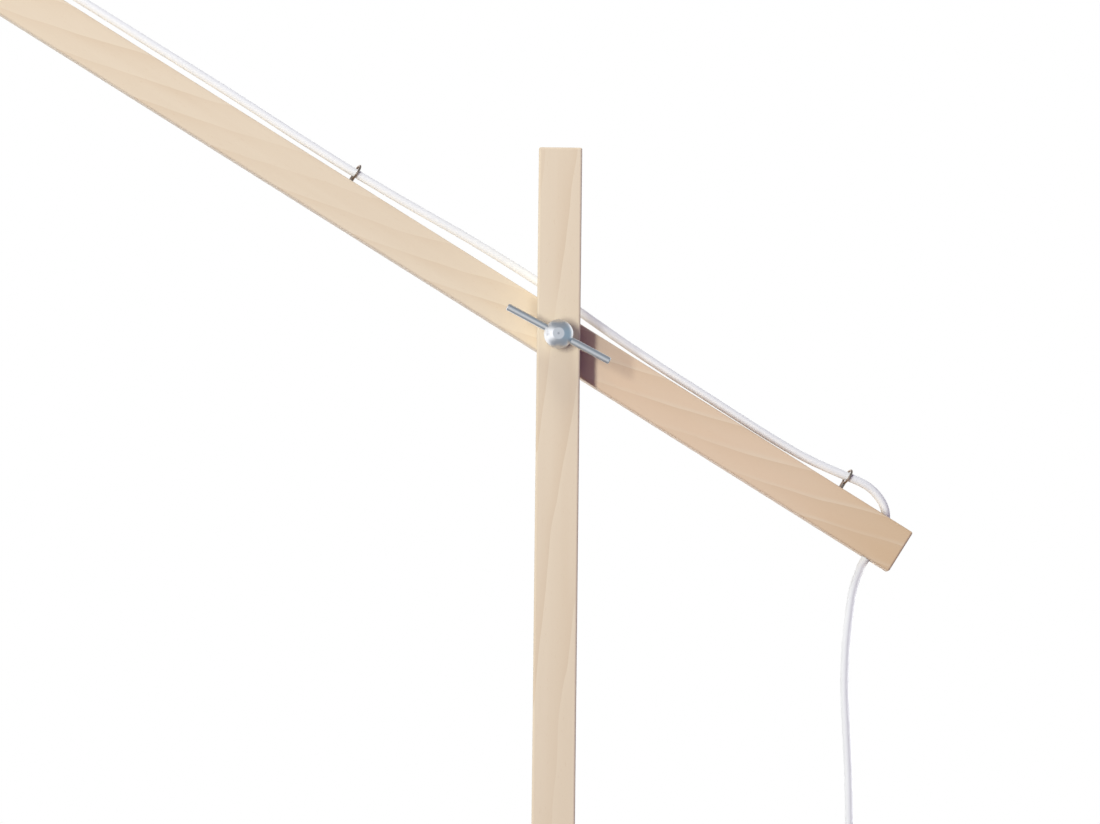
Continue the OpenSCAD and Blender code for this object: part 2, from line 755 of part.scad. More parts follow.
module rocker_pin() {
    color("silver") at_switch() translate([0, 0, axle_z]) rotate([0, 90, 0])
        cylinder(d = axle_d, h = rocker_w + 2 * cheek_t, center = true);
}

module switch_rocker() {
    color("gainsboro") at_switch() translate([0, 0, axle_z]) rotate([rocker_tilt, 0, 0]) difference() {
        rotate([90, 0, 90]) linear_extrude(rocker_w, center = true) polygon([
            [-rocker_l / 2, 3.6], [0, 2.6], [rocker_l / 2, 3.6], [rocker_l / 2 - 0.4, -2.2],
            [3, -4.4], [-3, -4.4], [-rocker_l / 2 + 0.4, -2.2]
        ]);
        rotate([0, 90, 0]) cylinder(d = axle_d + 2 * run_gap, h = rocker_w + 2, center = true);
    }
}

module switch_terminals() {
    color("goldenrod") at_switch() for (x = [-1, 1])
        translate([x * (switch_w / 4), 0, switch_wall + 0.2]) difference() {
            translate([-3, -8, 0]) cube([6, 16, 5]);
            translate([0, 4, 2]) cylinder(d = 2.6, h = 4);
        }
}

module switch_screws() {
    color("silver") at_switch() at_bosses(0.6) difference() {
        union() {
            cylinder(d = 5, h = 0.8);
            cylinder(d = screw_d, h = switch_split + 4.6);
        }
        cube([0.8, 3.4, 0.9], center = true);
        cube([3.4, 0.8, 0.9], center = true);
    }
}

// Stored lead: a spiral in, a climb in the half turn where it reverses, and a spiral out above
function ease(t) = t * t * (3 - 2 * t);
function coil_radius(a) = a < coil_down + 90 ? coil_out - coil_pitch * a / 360
    : coil_in + coil_pitch * (a - coil_down - 180) / 360;
function coil_height(a) = a < coil_down ? coil_low
    : a < coil_down + 180 ? coil_low + (coil_high - coil_low) * ease((a - coil_down) / 180) : coil_high;
coil_sweep = coil_down + 180 + coil_up;
coil_step = 15;
coil_turns_path = [
    for (a = [0:coil_step:coil_sweep])
        [coil_at[0] + coil_radius(a) * cos(a), coil_at[1] + coil_radius(a) * sin(a), coil_height(a)]
];
coil_path = concat(
    [for (t = [0, cord_d, 18, 31]) [switch_at[0], switch_at[1] + sleeve_tip + t,
        switch_split + (coil_low - switch_split) * ease(max(0, t - cord_d) / (lead_in - cord_d))]],
    coil_turns_path,
    [for (t = [12, 24, 34, lead_out - cord_d, lead_out]) [coil_at[0] - t, plug_at[1],
        coil_high + (plug_axis - coil_high) * ease(max(0, min(1, (t - 2 * cord_d) / (lead_out - 3 * cord_d))))]]
);
apart = 360 / coil_step / 2;
coil_gap = min([
    for (i = [0:len(coil_path) - 1 - apart]) for (j = [i + apart:len(coil_path) - 1])
        norm(coil_path[i] - coil_path[j])
]) - cord_d;

module cord_coil() {
    echo("least gap of the coiled lead to itself", coil_gap);
    echo("coiled lead length", path_length(coil_path));
    color("white") tube(coil_path, cord_d, 6);
}

module coil_tie() {
    band_r = coil_out - coil_in + cord_d + 1.6;
    band_h = coil_high - coil_low + cord_d + 0.4;
    color("gray") translate([coil_at[0], coil_at[1] - (coil_in + coil_out) / 2, (coil_low + coil_high) / 2])
        rotate([90, 0, 90]) linear_extrude(tie_w, center = true) difference() {
            round_rect(band_r + 2 * tie_t, band_h + 2 * tie_t, 3 + tie_t);
            round_rect(band_r, band_h, 3);
        }
}

// Plug on the end of the lead, pins away from the coil
module at_plug() {
    translate(plug_at) rotate([0, 0, 180]) children();
}

module plug_relief() {
    color("white") at_plug() rotate([0, 90, 0]) cylinder(d1 = relief_tip_d, d2 = relief_d + 0.8, h = sleeve_l);
}

module plug_body() {
    waist = plug_l / 3;
    color("white") at_plug() difference() {
        intersection() {
            linear_extrude(plug_h + 2, center = true) polygon([
                [sleeve_l, -8], [sleeve_l + waist, -plug_w / 2], [sleeve_l + plug_l, -plug_w / 2],
                [sleeve_l + plug_l, plug_w / 2], [sleeve_l + waist, plug_w / 2], [sleeve_l, 8]
            ]);
            translate([sleeve_l + plug_l / 2, 0, 0]) rotate([90, 0, 90])
                linear_extrude(plug_l + 2, center = true) round_rect(plug_w, plug_h, 5);
        }
        for (y = [-1, 1]) translate([sleeve_l + plug_l - pin_root, y * plug_pitch / 2, 0]) rotate([0, 90, 0])
            cylinder(d = pin_root_d + 2 * seat_gap, h = pin_root + 1);
    }
}

module plug_pins() {
    length = pin_root + plug_pin_l - plug_pin_d / 2;
    color("silver") at_plug() for (y = [-1, 1])
        translate([sleeve_l + plug_l - pin_root, y * plug_pitch / 2, 0]) rotate([0, 90, 0]) {
            cylinder(d = pin_root_d, h = pin_root);
            cylinder(d = plug_pin_d, h = length);
            translate([0, 0, length]) sphere(d = plug_pin_d);
        }
}

base_pad();
base_plate();
base_bolt();
locating_pin();
post_insert();
post();
friction_disc();
arm();
pivot_bolt();
screw_eyes();
arm_cord();
clamp_washer();
clamp_knob();
cross_bar();
pendant_cord();
cord_grip();
grip_screw();
holder_cap();
holder_body();
holder_insert();
holder_contact();
thread_sleeve();
shade_ring();
shade();
bulb_cap();
bulb_tip();
bulb_glass();
hanging_cord();
bend_reliefs();
switch_base();
switch_cover();
rocker_pin();
switch_rocker();
switch_terminals();
switch_screws();
cord_coil();
coil_tie();
plug_relief();
plug_body();
plug_pins();
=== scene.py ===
"""Dresses the packed floor lamp: leads, wood, steel, enamel, plastic and felt, and the studio around it."""

import json
import math

import bmesh
import bpy
from mathutils import Matrix, Vector


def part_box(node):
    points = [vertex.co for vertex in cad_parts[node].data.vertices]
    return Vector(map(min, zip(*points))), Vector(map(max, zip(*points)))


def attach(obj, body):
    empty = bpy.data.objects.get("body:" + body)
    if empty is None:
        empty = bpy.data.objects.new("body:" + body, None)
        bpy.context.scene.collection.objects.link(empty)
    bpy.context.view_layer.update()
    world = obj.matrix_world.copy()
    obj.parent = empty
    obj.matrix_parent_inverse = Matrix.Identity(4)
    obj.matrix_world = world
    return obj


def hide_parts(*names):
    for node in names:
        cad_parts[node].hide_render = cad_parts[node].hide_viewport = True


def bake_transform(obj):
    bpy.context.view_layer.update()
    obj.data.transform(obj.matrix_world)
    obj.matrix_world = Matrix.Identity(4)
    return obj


bl_info = {
    "name": "Articulated floor lamp",
    "version": (1, 0, 0),
    "blender": (4, 5, 0),
    "location": "3D View > Sidebar > Lamp",
    "description": "Dresses the floor lamp and sets its studio",
    "category": "Object",
}

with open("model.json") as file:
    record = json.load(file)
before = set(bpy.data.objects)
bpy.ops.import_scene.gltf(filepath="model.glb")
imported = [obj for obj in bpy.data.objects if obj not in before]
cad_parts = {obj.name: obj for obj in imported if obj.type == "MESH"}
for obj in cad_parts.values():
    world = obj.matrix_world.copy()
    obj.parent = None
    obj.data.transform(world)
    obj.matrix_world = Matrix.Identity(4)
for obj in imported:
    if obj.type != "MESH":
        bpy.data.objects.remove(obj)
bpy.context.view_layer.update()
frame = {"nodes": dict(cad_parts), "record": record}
NODES = frame["nodes"]
JOINTS = {joint["name"]: joint for joint in frame["record"]["behaviour"]["joints"]}

# Places that the frame gives, in metres
PIVOT = Vector(JOINTS["arm_tilt"]["pos_m"])
LAMP_EXIT = Vector(JOINTS["shade_swing"]["pos_m"])
KNOB = Vector(JOINTS["knob_turn"]["pos_m"])
ROCKER_AXLE = Vector(JOINTS["switch_rock"]["pos_m"])
SHADE_LOW, SHADE_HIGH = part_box("shade")
SHADE_AXIS = (SHADE_LOW + SHADE_HIGH) / 2
POST_LOW, POST_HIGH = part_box("post")

# The arm: its slope, half its height, the places of its holes and eyes along it from the pivot, with the
# height of each eye's ring above the wood, and the size and turn of the rings
ARM_SLOPE = math.radians(31.5)
ARM_TOP = 0.016
LAMP_HOLE = -0.626
TAIL_HOLE = 0.263
EYES = ((0.222, 0.0093), (-0.1815, 0.0073), (-0.585, 0.0073))
EYE_RING = 0.0052
EYE_TURN = math.radians(15)
# The bar through the knob
BAR_SLOPE = math.radians(27.5)

# The lead: its thickness, and its route along the arm, up through the lamp hole and down the tail hole
LEAD_R = 0.003
LAMP_RUN = (
    (0, -0.025), (0, -0.018), (0.0006, -0.009), (0.003, -0.001), (0.008, 0.005), (0.015, 0.0086),
    (0.024, 0.0096), (0.038, 0.0078), (0.059, 0.0066), (0.1, 0.0066),
)
MIDDLE_RUN = (
    (-0.32, 0.0072), (-0.27, 0.0071), (-0.235, 0.0065), (-0.2, 0.0063), (-0.182, 0.0065), (-0.14, 0.0076),
    (-0.085, 0.0098), (-0.031, 0.0098), (0.004, 0.0076), (0.04, 0.0057), (0.074, 0.0048), (0.107, 0.0045),
    (0.14, 0.0041),
)
TAIL_RUN = (
    (-0.098, 0.0041), (-0.076, 0.0048), (-0.058, 0.0068), (-0.039, 0.0098), (-0.031, 0.011),
    (-0.023, 0.011), (-0.015, 0.0089), (-0.008, 0.005), (-0.003, -0.001), (-0.0006, -0.009), (0, -0.018),
    (0, -0.025),
)
# From the lamp hole down to the shade, across and down from the hole
PENDANT_RUN = (
    (-0.0016, -0.0026), (-0.0039, -0.0076), (-0.005, -0.013), (-0.0053, -0.019), (-0.0053, -0.04),
    (-0.0053, -0.07), (-0.0053, -0.105),
)
# From the hole down to the cord grip, and the grip's two heights
PENDANT_DROP = 0.15
GRIP_H = 0.016
NIPPLE_L = 0.007
# From the tail hole down to the switch on the floor
HANG_RUN = (
    (0.207, 0.0315, 1.208), (0.2042, 0.0315, 1.188), (0.2024, 0.0315, 1.167), (0.2019, 0.0315, 1.14),
    (0.2035, 0.0315, 1.11), (0.2053, 0.0315, 1.075), (0.2066, 0.0315, 1.02), (0.207, 0.0315, 0.95),
    (0.206, 0.0315, 0.8), (0.2042, 0.0315, 0.65), (0.203, 0.0315, 0.5), (0.2034, 0.0315, 0.35),
    (0.2046, 0.0315, 0.2), (0.205, 0.0315, 0.12), (0.205, 0.0315, 0.09), (0.205, 0.033, 0.06),
    (0.205, 0.039, 0.034), (0.205, 0.051, 0.015), (0.205, 0.065, 0.0065), (0.205, 0.078, 0.0068),
)
# The stretch of it that the side lamp lights
HANG_MIDDLE = (0.205, 0.0315, 1.06)

# The switch in the lead, the coil behind it, the straight lead before and after the coil, and the plug
SWITCH = Vector((0.205, 0.15, 0))
SWITCH_W, SWITCH_L, SWITCH_H = 0.03, 0.064, 0.02
SWITCH_SPLIT = 0.009
SWITCH_WALL = 0.002
SLEEVE_L = 0.022
SLEEVE_TIP = SWITCH_L / 2 + SLEEVE_L
COIL_IN, COIL_PITCH, COIL_TURNS = 0.026, 0.0067, 3
COIL_OUT = COIL_IN + COIL_PITCH * COIL_TURNS
COIL_LOW, COIL_HIGH = 0.0044, 0.011
LEAD_IN, LEAD_OUT = 0.045, 0.05
COIL = Vector((SWITCH.x - COIL_OUT, SWITCH.y + SLEEVE_TIP + LEAD_IN, 0))
PLUG = Vector((COIL.x - LEAD_OUT, COIL.y + COIL_IN + (COIL_TURNS - 0.25) * COIL_PITCH, 0.007))
PLUG_L, PLUG_W, PLUG_H = 0.03, 0.035, 0.0136

# Points closer than this are one, and edges sharper than this stay sharp
WELD = 1e-6
CREASE = math.radians(35)

WHITE = (1.0, 1.0, 1.0)
LAMP_TINT = (0.96, 1.0, 0.94)


class LeadSettings(bpy.types.PropertyGroup):
    """Looks of the lead and of what is moulded or tied on it."""

    sheath: bpy.props.FloatVectorProperty(
        name="Sheath", description="Colour of the round lead", subtype="COLOR", default=(0.855, 0.86, 0.875))
    relief: bpy.props.FloatVectorProperty(
        name="Bend reliefs", description="Colour of the soft sleeves", subtype="COLOR",
        default=(0.82, 0.82, 0.815))
    strap: bpy.props.FloatVectorProperty(
        name="Strap", description="Colour of the strap on the coil", subtype="COLOR",
        default=(0.2, 0.2, 0.21))
    bend_length: bpy.props.FloatProperty(
        name="Free length", description="Length of hanging lead that follows the tail of the arm",
        unit="LENGTH", default=0.75)


class WoodSettings(bpy.types.PropertyGroup):
    """Looks of the beech post and arm."""

    pale: bpy.props.FloatVectorProperty(
        name="Pale wood", description="Colour of the pale bands", subtype="COLOR", default=(0.8, 0.68, 0.525))
    warm: bpy.props.FloatVectorProperty(
        name="Warm wood", description="Colour of the warm bands", subtype="COLOR",
        default=(0.755, 0.625, 0.47))
    # The tan and the deeper colour at the end of the tail are partly the board's tone and partly painted
    # shade, darker towards the tail.
    tan: bpy.props.FloatVectorProperty(
        name="Tan wood", description="Colour of the tail half of the arm", subtype="COLOR",
        default=(0.765, 0.58, 0.415))
    honey_and_shade: bpy.props.FloatVectorProperty(
        name="Honey wood", description="Colour at the end of the tail", subtype="COLOR",
        default=(0.69, 0.5, 0.32))
    line: bpy.props.FloatVectorProperty(
        name="Growth lines", description="Colour of the late wood", subtype="COLOR",
        default=(0.64, 0.47, 0.31))
    ring: bpy.props.FloatProperty(
        name="Ring width", description="Distance between growth rings", unit="LENGTH", default=0.0105)


class MetalSettings(bpy.types.PropertyGroup):
    """Looks of the bare metal."""

    steel: bpy.props.FloatVectorProperty(
        name="Turned steel", description="Colour of the knob and its bar", subtype="COLOR",
        default=(0.68, 0.69, 0.71))
    zinc: bpy.props.FloatVectorProperty(
        name="Zinc", description="Colour of the bolts and washers", subtype="COLOR",
        default=(0.55, 0.54, 0.53))
    # The brown of the eye wire is a painted reflection of the wood beside it, not the plain colour of the
    # metal.
    wire: bpy.props.FloatVectorProperty(
        name="Eye wire", description="Colour of the screw eyes", subtype="COLOR",
        default=(0.36, 0.285, 0.235))
    brass: bpy.props.FloatVectorProperty(
        name="Brass", description="Colour of the contacts", subtype="COLOR", default=(0.75, 0.58, 0.28))
    nickel: bpy.props.FloatVectorProperty(
        name="Nickel", description="Colour of the plug pins", subtype="COLOR", default=(0.72, 0.7, 0.66))


class PaintSettings(bpy.types.PropertyGroup):
    """Looks of the painted and moulded parts."""

    base: bpy.props.FloatVectorProperty(
        name="Base", description="Powder coat of the base plate", subtype="COLOR", default=(0.72, 0.72, 0.71))
    shade: bpy.props.FloatVectorProperty(
        name="Shade", description="Enamel of the shade", subtype="COLOR", default=(0.72, 0.72, 0.71))
    plastic: bpy.props.FloatVectorProperty(
        name="Plastic", description="Moulded parts of the holder, switch and plug", subtype="COLOR",
        default=(0.78, 0.78, 0.77))
    felt: bpy.props.FloatVectorProperty(
        name="Felt", description="Pad under the base", subtype="COLOR", default=(0.1, 0.1, 0.105))


class StageSettings(bpy.types.PropertyGroup):
    """Camera, lamps and background."""

    distance: bpy.props.FloatProperty(
        name="Distance", description="From the camera to the point that it looks at", unit="LENGTH",
        default=5.0)
    lens: bpy.props.FloatProperty(
        name="Lens", description="Focal length of the camera in millimetres", default=237.2)
    tilt: bpy.props.FloatProperty(
        name="Tilt", description="How far the camera looks up", subtype="ANGLE", default=math.radians(2.5))
    roll: bpy.props.FloatProperty(
        name="Roll", description="How far the picture leans to the right", subtype="ANGLE",
        default=math.radians(0.633))
    key: bpy.props.FloatProperty(
        name="Key lamp", description="Power of the lamp on the left, and of its twin for the lead",
        unit="POWER", default=94.0)
    top: bpy.props.FloatProperty(
        name="Top lamp", description="Power of the lamp above", unit="POWER", default=31.0)
    side: bpy.props.FloatProperty(
        name="Side lamp", description="Power of the narrow lamp on the hanging lead", unit="POWER",
        default=1.2)
    low: bpy.props.FloatProperty(
        name="Low lamp", description="Power of the lamp under the arm", unit="POWER", default=2.4)
    back: bpy.props.FloatProperty(
        name="Back lamp", description="Power of the lamp behind", unit="POWER", default=30.0)
    fill: bpy.props.FloatVectorProperty(
        name="Fill", description="Light from the left and from behind", subtype="COLOR",
        default=(0.42, 0.42, 0.42))
    sky: bpy.props.FloatVectorProperty(
        name="Sky", description="Light from above and behind", subtype="COLOR", soft_max=2.0,
        default=(1.0, 1.0, 1.0))
    shade: bpy.props.FloatVectorProperty(
        name="Shade", description="Light from the right", subtype="COLOR", default=(0.10, 0.02, 0.18))
    bounce: bpy.props.FloatVectorProperty(
        name="Bounce", description="Light that the floor sends up", subtype="COLOR",
        default=(0.12, 0.07, 0.14))
    floor: bpy.props.FloatVectorProperty(
        name="Floor", description="Colour of the floor", subtype="COLOR", default=(0.82, 0.82, 0.82))


SETTINGS = {
    "lamp_leads": LeadSettings,
    "lamp_wood": WoodSettings,
    "lamp_metal": MetalSettings,
    "lamp_paint": PaintSettings,
    "lamp_stage": StageSettings,
}


# Shader nodes
class Signal:
    """The output of a node; arithmetic on it adds Math nodes."""

    def __init__(self, board, socket):
        self.board = board
        self.socket = socket

    def math(self, operation, *values):
        """A Math node of any operation."""
        return self.board.node("ShaderNodeMath", {"operation": operation}, dict(enumerate(values)))

    def __add__(self, other):
        return self.math("ADD", self, other)

    def __sub__(self, other):
        return self.math("SUBTRACT", self, other)

    def __rsub__(self, other):
        return self.math("SUBTRACT", other, self)

    def __mul__(self, other):
        return self.math("MULTIPLY", self, other)

    def __truediv__(self, other):
        return self.math("DIVIDE", self, other)

    def __pow__(self, other):
        return self.math("POWER", self, other)

    __radd__ = __add__
    __rmul__ = __mul__


class Board:
    """The node tree of a material or of the world."""

    def __init__(self, owner):
        owner.use_nodes = True
        self.tree = owner.node_tree
        self.tree.nodes.clear()

    def node(self, kind, settings=None, inputs=None, output=0):
        """One node: its settings, then a value or a link for each socket; gives the wanted output."""
        node = self.tree.nodes.new(kind)
        for key, value in (settings or {}).items():
            if key == "stops":
                self.set_stops(node.color_ramp, value)
            else:
                setattr(node, key, value)
        for key, value in (inputs or {}).items():
            socket = node.inputs[key]
            if isinstance(value, Signal):
                self.tree.links.new(value.socket, socket)
            elif socket.type == "RGBA":
                socket.default_value = (*value[:3], 1.0)
            else:
                socket.default_value = value
        return Signal(self, node.outputs[output]) if node.outputs else None

    @staticmethod
    def set_stops(ramp, stops):
        """Set the places and colours of a ramp."""
        while len(ramp.elements) < len(stops):
            ramp.elements.new(1.0)
        for element, (place, colour) in zip(ramp.elements, stops):
            element.position = place
            element.color = (*colour, 1.0)

    def coordinates(self, place=(0, 0, 0), turn=(0, 0, 0)):
        """Object coordinates, counted from a place and turned with a piece."""
        plain = self.node("ShaderNodeTexCoord", output="Object")
        return self.node("ShaderNodeMapping", {"vector_type": "TEXTURE"},
                         {"Vector": plain, "Location": place, "Rotation": turn})

    def stretch(self, vector, scale):
        """A vector with each of its parts scaled."""
        return self.node("ShaderNodeVectorMath", {"operation": "MULTIPLY"}, {0: vector, 1: scale})

    def split(self, vector):
        """The three parts of a vector."""
        parts = self.node("ShaderNodeSeparateXYZ", inputs={"Vector": vector}).socket.node
        return [Signal(self, socket) for socket in parts.outputs]

    def noise(self, vector, scale=1.0, detail=2.0, roughness=0.5):
        """Noise in space, from 0 to 1."""
        return self.node("ShaderNodeTexNoise", None,
                         {"Vector": vector, "Scale": scale, "Detail": detail, "Roughness": roughness})

    def noise_along(self, value, scale, detail=2.0):
        """Noise that changes with one number alone."""
        return self.node("ShaderNodeTexNoise", {"noise_dimensions": "1D"},
                         {"W": value, "Scale": scale, "Detail": detail})

    def between(self, value, low, high):
        """0 below low, 1 above high, and smooth between them."""
        return self.node("ShaderNodeMapRange", {"interpolation_type": "SMOOTHSTEP"},
                         {"Value": value, "From Min": low, "From Max": high})

    def mix(self, factor, first, second):
        """Mix of two colours."""
        return self.node("ShaderNodeMix", {"data_type": "RGBA"}, {0: factor, 6: first, 7: second}, output=2)

    def bump(self, height, strength, distance):
        """A normal that leans with a height."""
        return self.node("ShaderNodeBump", None,
                         {"Height": height, "Strength": strength, "Distance": distance})

    def surface(self, **sockets):
        """The surface shader, with its sockets named by words joined with underscores."""
        names = {key.replace("_", " "): value for key, value in sockets.items()}
        shader = self.node("ShaderNodeBsdfPrincipled", None, names)
        self.node("ShaderNodeOutputMaterial", None, {"Surface": shader})


def new_finish(name):
    """A new material and its node board."""
    material = bpy.data.materials.new(name)
    return material, Board(material)


def settings(name):
    """One of the groups of settings."""
    return getattr(bpy.context.scene, "lamp_" + name)


def toned(colour, share):
    """A colour made darker or lighter by a share."""
    return [share * part for part in colour]


# Finishes
def beech(name, place, turn, axis, pith, drift, tail=None):
    """Planed beech with its grain along X of a place: rings about a pith that drift, streaks and flecks.

    A tail gives two stretches of X over which the wood turns tan and then a deeper brown: partly the board's
    own tone, partly painted shade, darker towards the tail where less light reaches.
    """
    wood = settings("wood")
    material, board = new_finish(name)
    grain = board.coordinates(place, turn)
    x, y, z = board.split(grain)
    sway = board.noise(board.stretch(grain, (5.0, 22.0, 22.0)), detail=3.0)
    radius = ((y - pith[0]) ** 2.0 + (z - pith[1]) ** 2.0) ** 0.5
    rings = (radius + x * drift) / wood.ring + sway * 0.9
    phase = rings.math("FRACT", rings)
    late = (1.0 - phase) ** 2.5
    early = board.between(phase, 0.78, 1.0)
    patches = board.between(board.noise(board.stretch(grain, (6.0, 40.0, 40.0))), 0.35, 0.65)
    streak = board.between(board.noise(board.stretch(grain, (2.4, 95.0, 95.0)), detail=3.0), 0.25, 0.75)
    fleck = board.between(board.noise(board.stretch(grain, (260.0, 1700.0, 1700.0))), 0.66, 0.74)
    fibre = board.noise(board.stretch(grain, (55.0, 2400.0, 2400.0)), detail=4.0)
    body = board.mix(streak * 0.5 + 0.25, wood.warm, wood.pale)
    # Partly the board's tone, partly painted shade: the arm turns darker and warmer towards the tail.
    if tail:
        tan = board.mix(board.between(x, *tail[1]), wood.tan, wood.honey_and_shade)
        body = board.mix(board.between(x, *tail[0]) * (1.0 - streak * 0.15), body, tan)
    normal = board.node("ShaderNodeTexCoord", output="Normal")
    facing = board.node("ShaderNodeVectorMath", {"operation": "DOT_PRODUCT"}, {0: normal, 1: axis},
                        output="Value")
    end = board.between(facing.math("ABSOLUTE", facing), 0.7, 0.95)
    colour = board.mix(late * (patches * 0.22 + 0.14), body, wood.line)
    colour = board.mix(early * (patches * 0.3 + 0.15), colour, wood.pale)
    colour = board.mix(fleck * (0.3 - end * 0.3), colour, wood.line)
    colour = board.mix(end * 0.45, colour, wood.line)
    height = fibre * 0.5 - late * 0.2 - fleck * 0.4
    board.surface(
        Base_Color=colour,
        Roughness=fibre * 0.16 + 0.44 + end * 0.2,
        Specular_IOR_Level=0.35,
        Normal=board.bump(height, 0.14, 0.0002))
    return material


def turned_steel(name, place, turn):
    """Bright steel with the fine rings that a lathe leaves about the Y axis of a place."""
    material, board = new_finish(name)
    spot = board.coordinates(place, turn)
    x, y, z = board.split(spot)
    radius = (x ** 2.0 + z ** 2.0) ** 0.5
    rings = board.noise_along(radius + y, 2600.0, 3.0)
    smear = board.noise(spot, 240.0, 3.0)
    board.surface(
        Base_Color=board.mix(smear * 0.2, settings("metal").steel, (0.56, 0.58, 0.62)),
        Metallic=1.0,
        Roughness=rings * 0.1 + smear * 0.06 + 0.29,
        Normal=board.bump(rings, 0.05, 0.00005))
    return material


def drawn_steel(name, place, turn):
    """Bright drawn bar with faint marks along its X axis."""
    material, board = new_finish(name)
    spot = board.coordinates(place, turn)
    marks = board.noise(board.stretch(spot, (18.0, 2600.0, 2600.0)), detail=3.0)
    board.surface(
        Base_Color=board.mix(marks, (0.56, 0.57, 0.575), settings("metal").steel),
        Metallic=1.0,
        Roughness=marks * 0.14 + 0.22,
        Normal=board.bump(marks, 0.06, 0.00004))
    return material


def plated_metal(name, colour, dull):
    """Plated or bare metal with faint clouds and handling marks."""
    material, board = new_finish(name)
    spot = board.coordinates()
    cloud = board.noise(spot, 160.0, 4.0)
    grain = board.noise(spot, 2800.0, 2.0)
    board.surface(
        Base_Color=board.mix(board.between(cloud, 0.35, 0.75), colour, dull),
        Metallic=1.0,
        Roughness=cloud * 0.2 + 0.2 + grain * 0.06,
        Normal=board.bump(grain, 0.06, 0.00004))
    return material


def sheath(name):
    """Smooth white sheath with the faint pull marks of its making."""
    material, board = new_finish(name)
    spot = board.coordinates()
    cloud = board.noise(spot, 34.0, 3.0)
    pores = board.noise(spot, 900.0, 2.0)
    tone = settings("leads").sheath
    board.surface(
        Base_Color=board.mix(board.between(cloud, 0.3, 0.8) * 0.5, tone, toned(tone, 0.96)),
        Roughness=cloud * 0.14 + pores * 0.08 + 0.34)
    return material


def moulded(name, colour, gloss=0.3):
    """Moulded plastic: an even colour with a fine skin."""
    material, board = new_finish(name)
    spot = board.coordinates()
    cloud = board.noise(spot, 60.0, 3.0)
    skin = board.noise(spot, 1900.0, 3.0)
    board.surface(
        Base_Color=board.mix(board.between(cloud, 0.35, 0.75) * 0.5, colour, toned(colour, 0.93)),
        Roughness=cloud * 0.12 + skin * 0.1 + gloss,
        Normal=board.bump(skin, 0.08, 0.00006))
    return material


def soft_rubber(name, colour):
    """Soft moulded rubber with a dull, slightly dusty skin."""
    material, board = new_finish(name)
    spot = board.coordinates()
    dust = board.noise(spot, 220.0, 4.0)
    skin = board.noise(spot, 2600.0, 2.0)
    board.surface(
        Base_Color=board.mix(board.between(dust, 0.4, 0.8), colour, toned(colour, 0.9)),
        Roughness=dust * 0.2 + 0.5,
        Normal=board.bump(skin, 0.12, 0.00008))
    return material


def pressed_felt(name, colour):
    """Pressed felt: matted fibres in two tones."""
    material, board = new_finish(name)
    spot = board.coordinates()
    mat = board.noise(spot, 1300.0, 5.0, 0.7)
    tuft = board.noise(spot, 210.0, 3.0)
    board.surface(
        Base_Color=board.mix(board.between(mat * 0.7 + tuft * 0.3, 0.35, 0.65), colour, toned(colour, 2.1)),
        Roughness=0.95,
        Sheen_Weight=0.4,
        Normal=board.bump(mat, 0.6, 0.0004))
    return material


def hook_strap(name, colour):
    """Hook and loop strap: rows of tiny loops."""
    material, board = new_finish(name)
    spot = board.coordinates()
    loops = board.node("ShaderNodeTexVoronoi", None, {"Vector": spot, "Scale": 900.0})
    rows = board.noise(board.stretch(spot, (1500.0, 300.0, 300.0)))
    height = loops * 0.8 + rows * 0.4
    board.surface(
        Base_Color=board.mix(board.between(height, 0.2, 0.8), colour, toned(colour, 2.4)),
        Roughness=0.9,
        Sheen_Weight=0.25,
        Normal=board.bump(height, 0.7, 0.0003))
    return material


def powder_coat(name, colour):
    """Powder coat with its fine pebbled skin."""
    material, board = new_finish(name)
    spot = board.coordinates()
    pebble = board.noise(spot, 900.0, 3.0)
    cloud = board.noise(spot, 22.0, 3.0)
    board.surface(
        Base_Color=board.mix(cloud * 0.5, colour, toned(colour, 0.94)),
        Roughness=pebble * 0.16 + 0.42,
        Normal=board.bump(pebble, 0.22, 0.00015))
    return material


def spun_enamel(name, colour):
    """White enamel over spun metal: faint rings about the axis of the shade under a smooth coat."""
    material, board = new_finish(name)
    spot = board.coordinates(SHADE_AXIS)
    x, y, z = board.split(spot)
    radius = (x ** 2.0 + y ** 2.0) ** 0.5
    spun = board.noise_along(radius - z, 420.0, 2.0)
    peel = board.noise(spot, 260.0, 2.0)
    cloud = board.noise(spot, 14.0, 2.0)
    board.surface(
        Base_Color=board.mix(cloud * 0.5, colour, toned(colour, 0.95)),
        Roughness=peel * 0.08 + 0.2 + spun * 0.05,
        Coat_Weight=0.35,
        Coat_Roughness=0.08,
        Normal=board.bump(spun * 0.6 + peel * 0.4, 0.05, 0.0002))
    return material


def frosted_glass(name):
    """Bulb glass, frosted on the inside."""
    material, board = new_finish(name)
    frost = board.noise(board.coordinates(), 700.0, 4.0)
    board.surface(
        Base_Color=(0.97, 0.97, 0.95),
        Roughness=frost * 0.2 + 0.3,
        Transmission_Weight=0.7,
        IOR=1.46,
        Normal=board.bump(frost, 0.05, 0.0001))
    return material


def speckled(name, colour, speck):
    """Pressed or fired body with specks of another tone."""
    material, board = new_finish(name)
    spot = board.coordinates()
    grain = board.noise(spot, 900.0, 4.0)
    board.surface(
        Base_Color=board.mix(board.between(grain, 0.45, 0.7), colour, speck),
        Roughness=grain * 0.2 + 0.6,
        Normal=board.bump(grain, 0.2, 0.0001))
    return material


# Shapes
def arm_point(along, above):
    """A point of the arm: distance along it towards the tail, and height above its middle."""
    return PIVOT + Vector((
        along * math.cos(ARM_SLOPE) + above * math.sin(ARM_SLOPE),
        0,
        above * math.cos(ARM_SLOPE) - along * math.sin(ARM_SLOPE)))


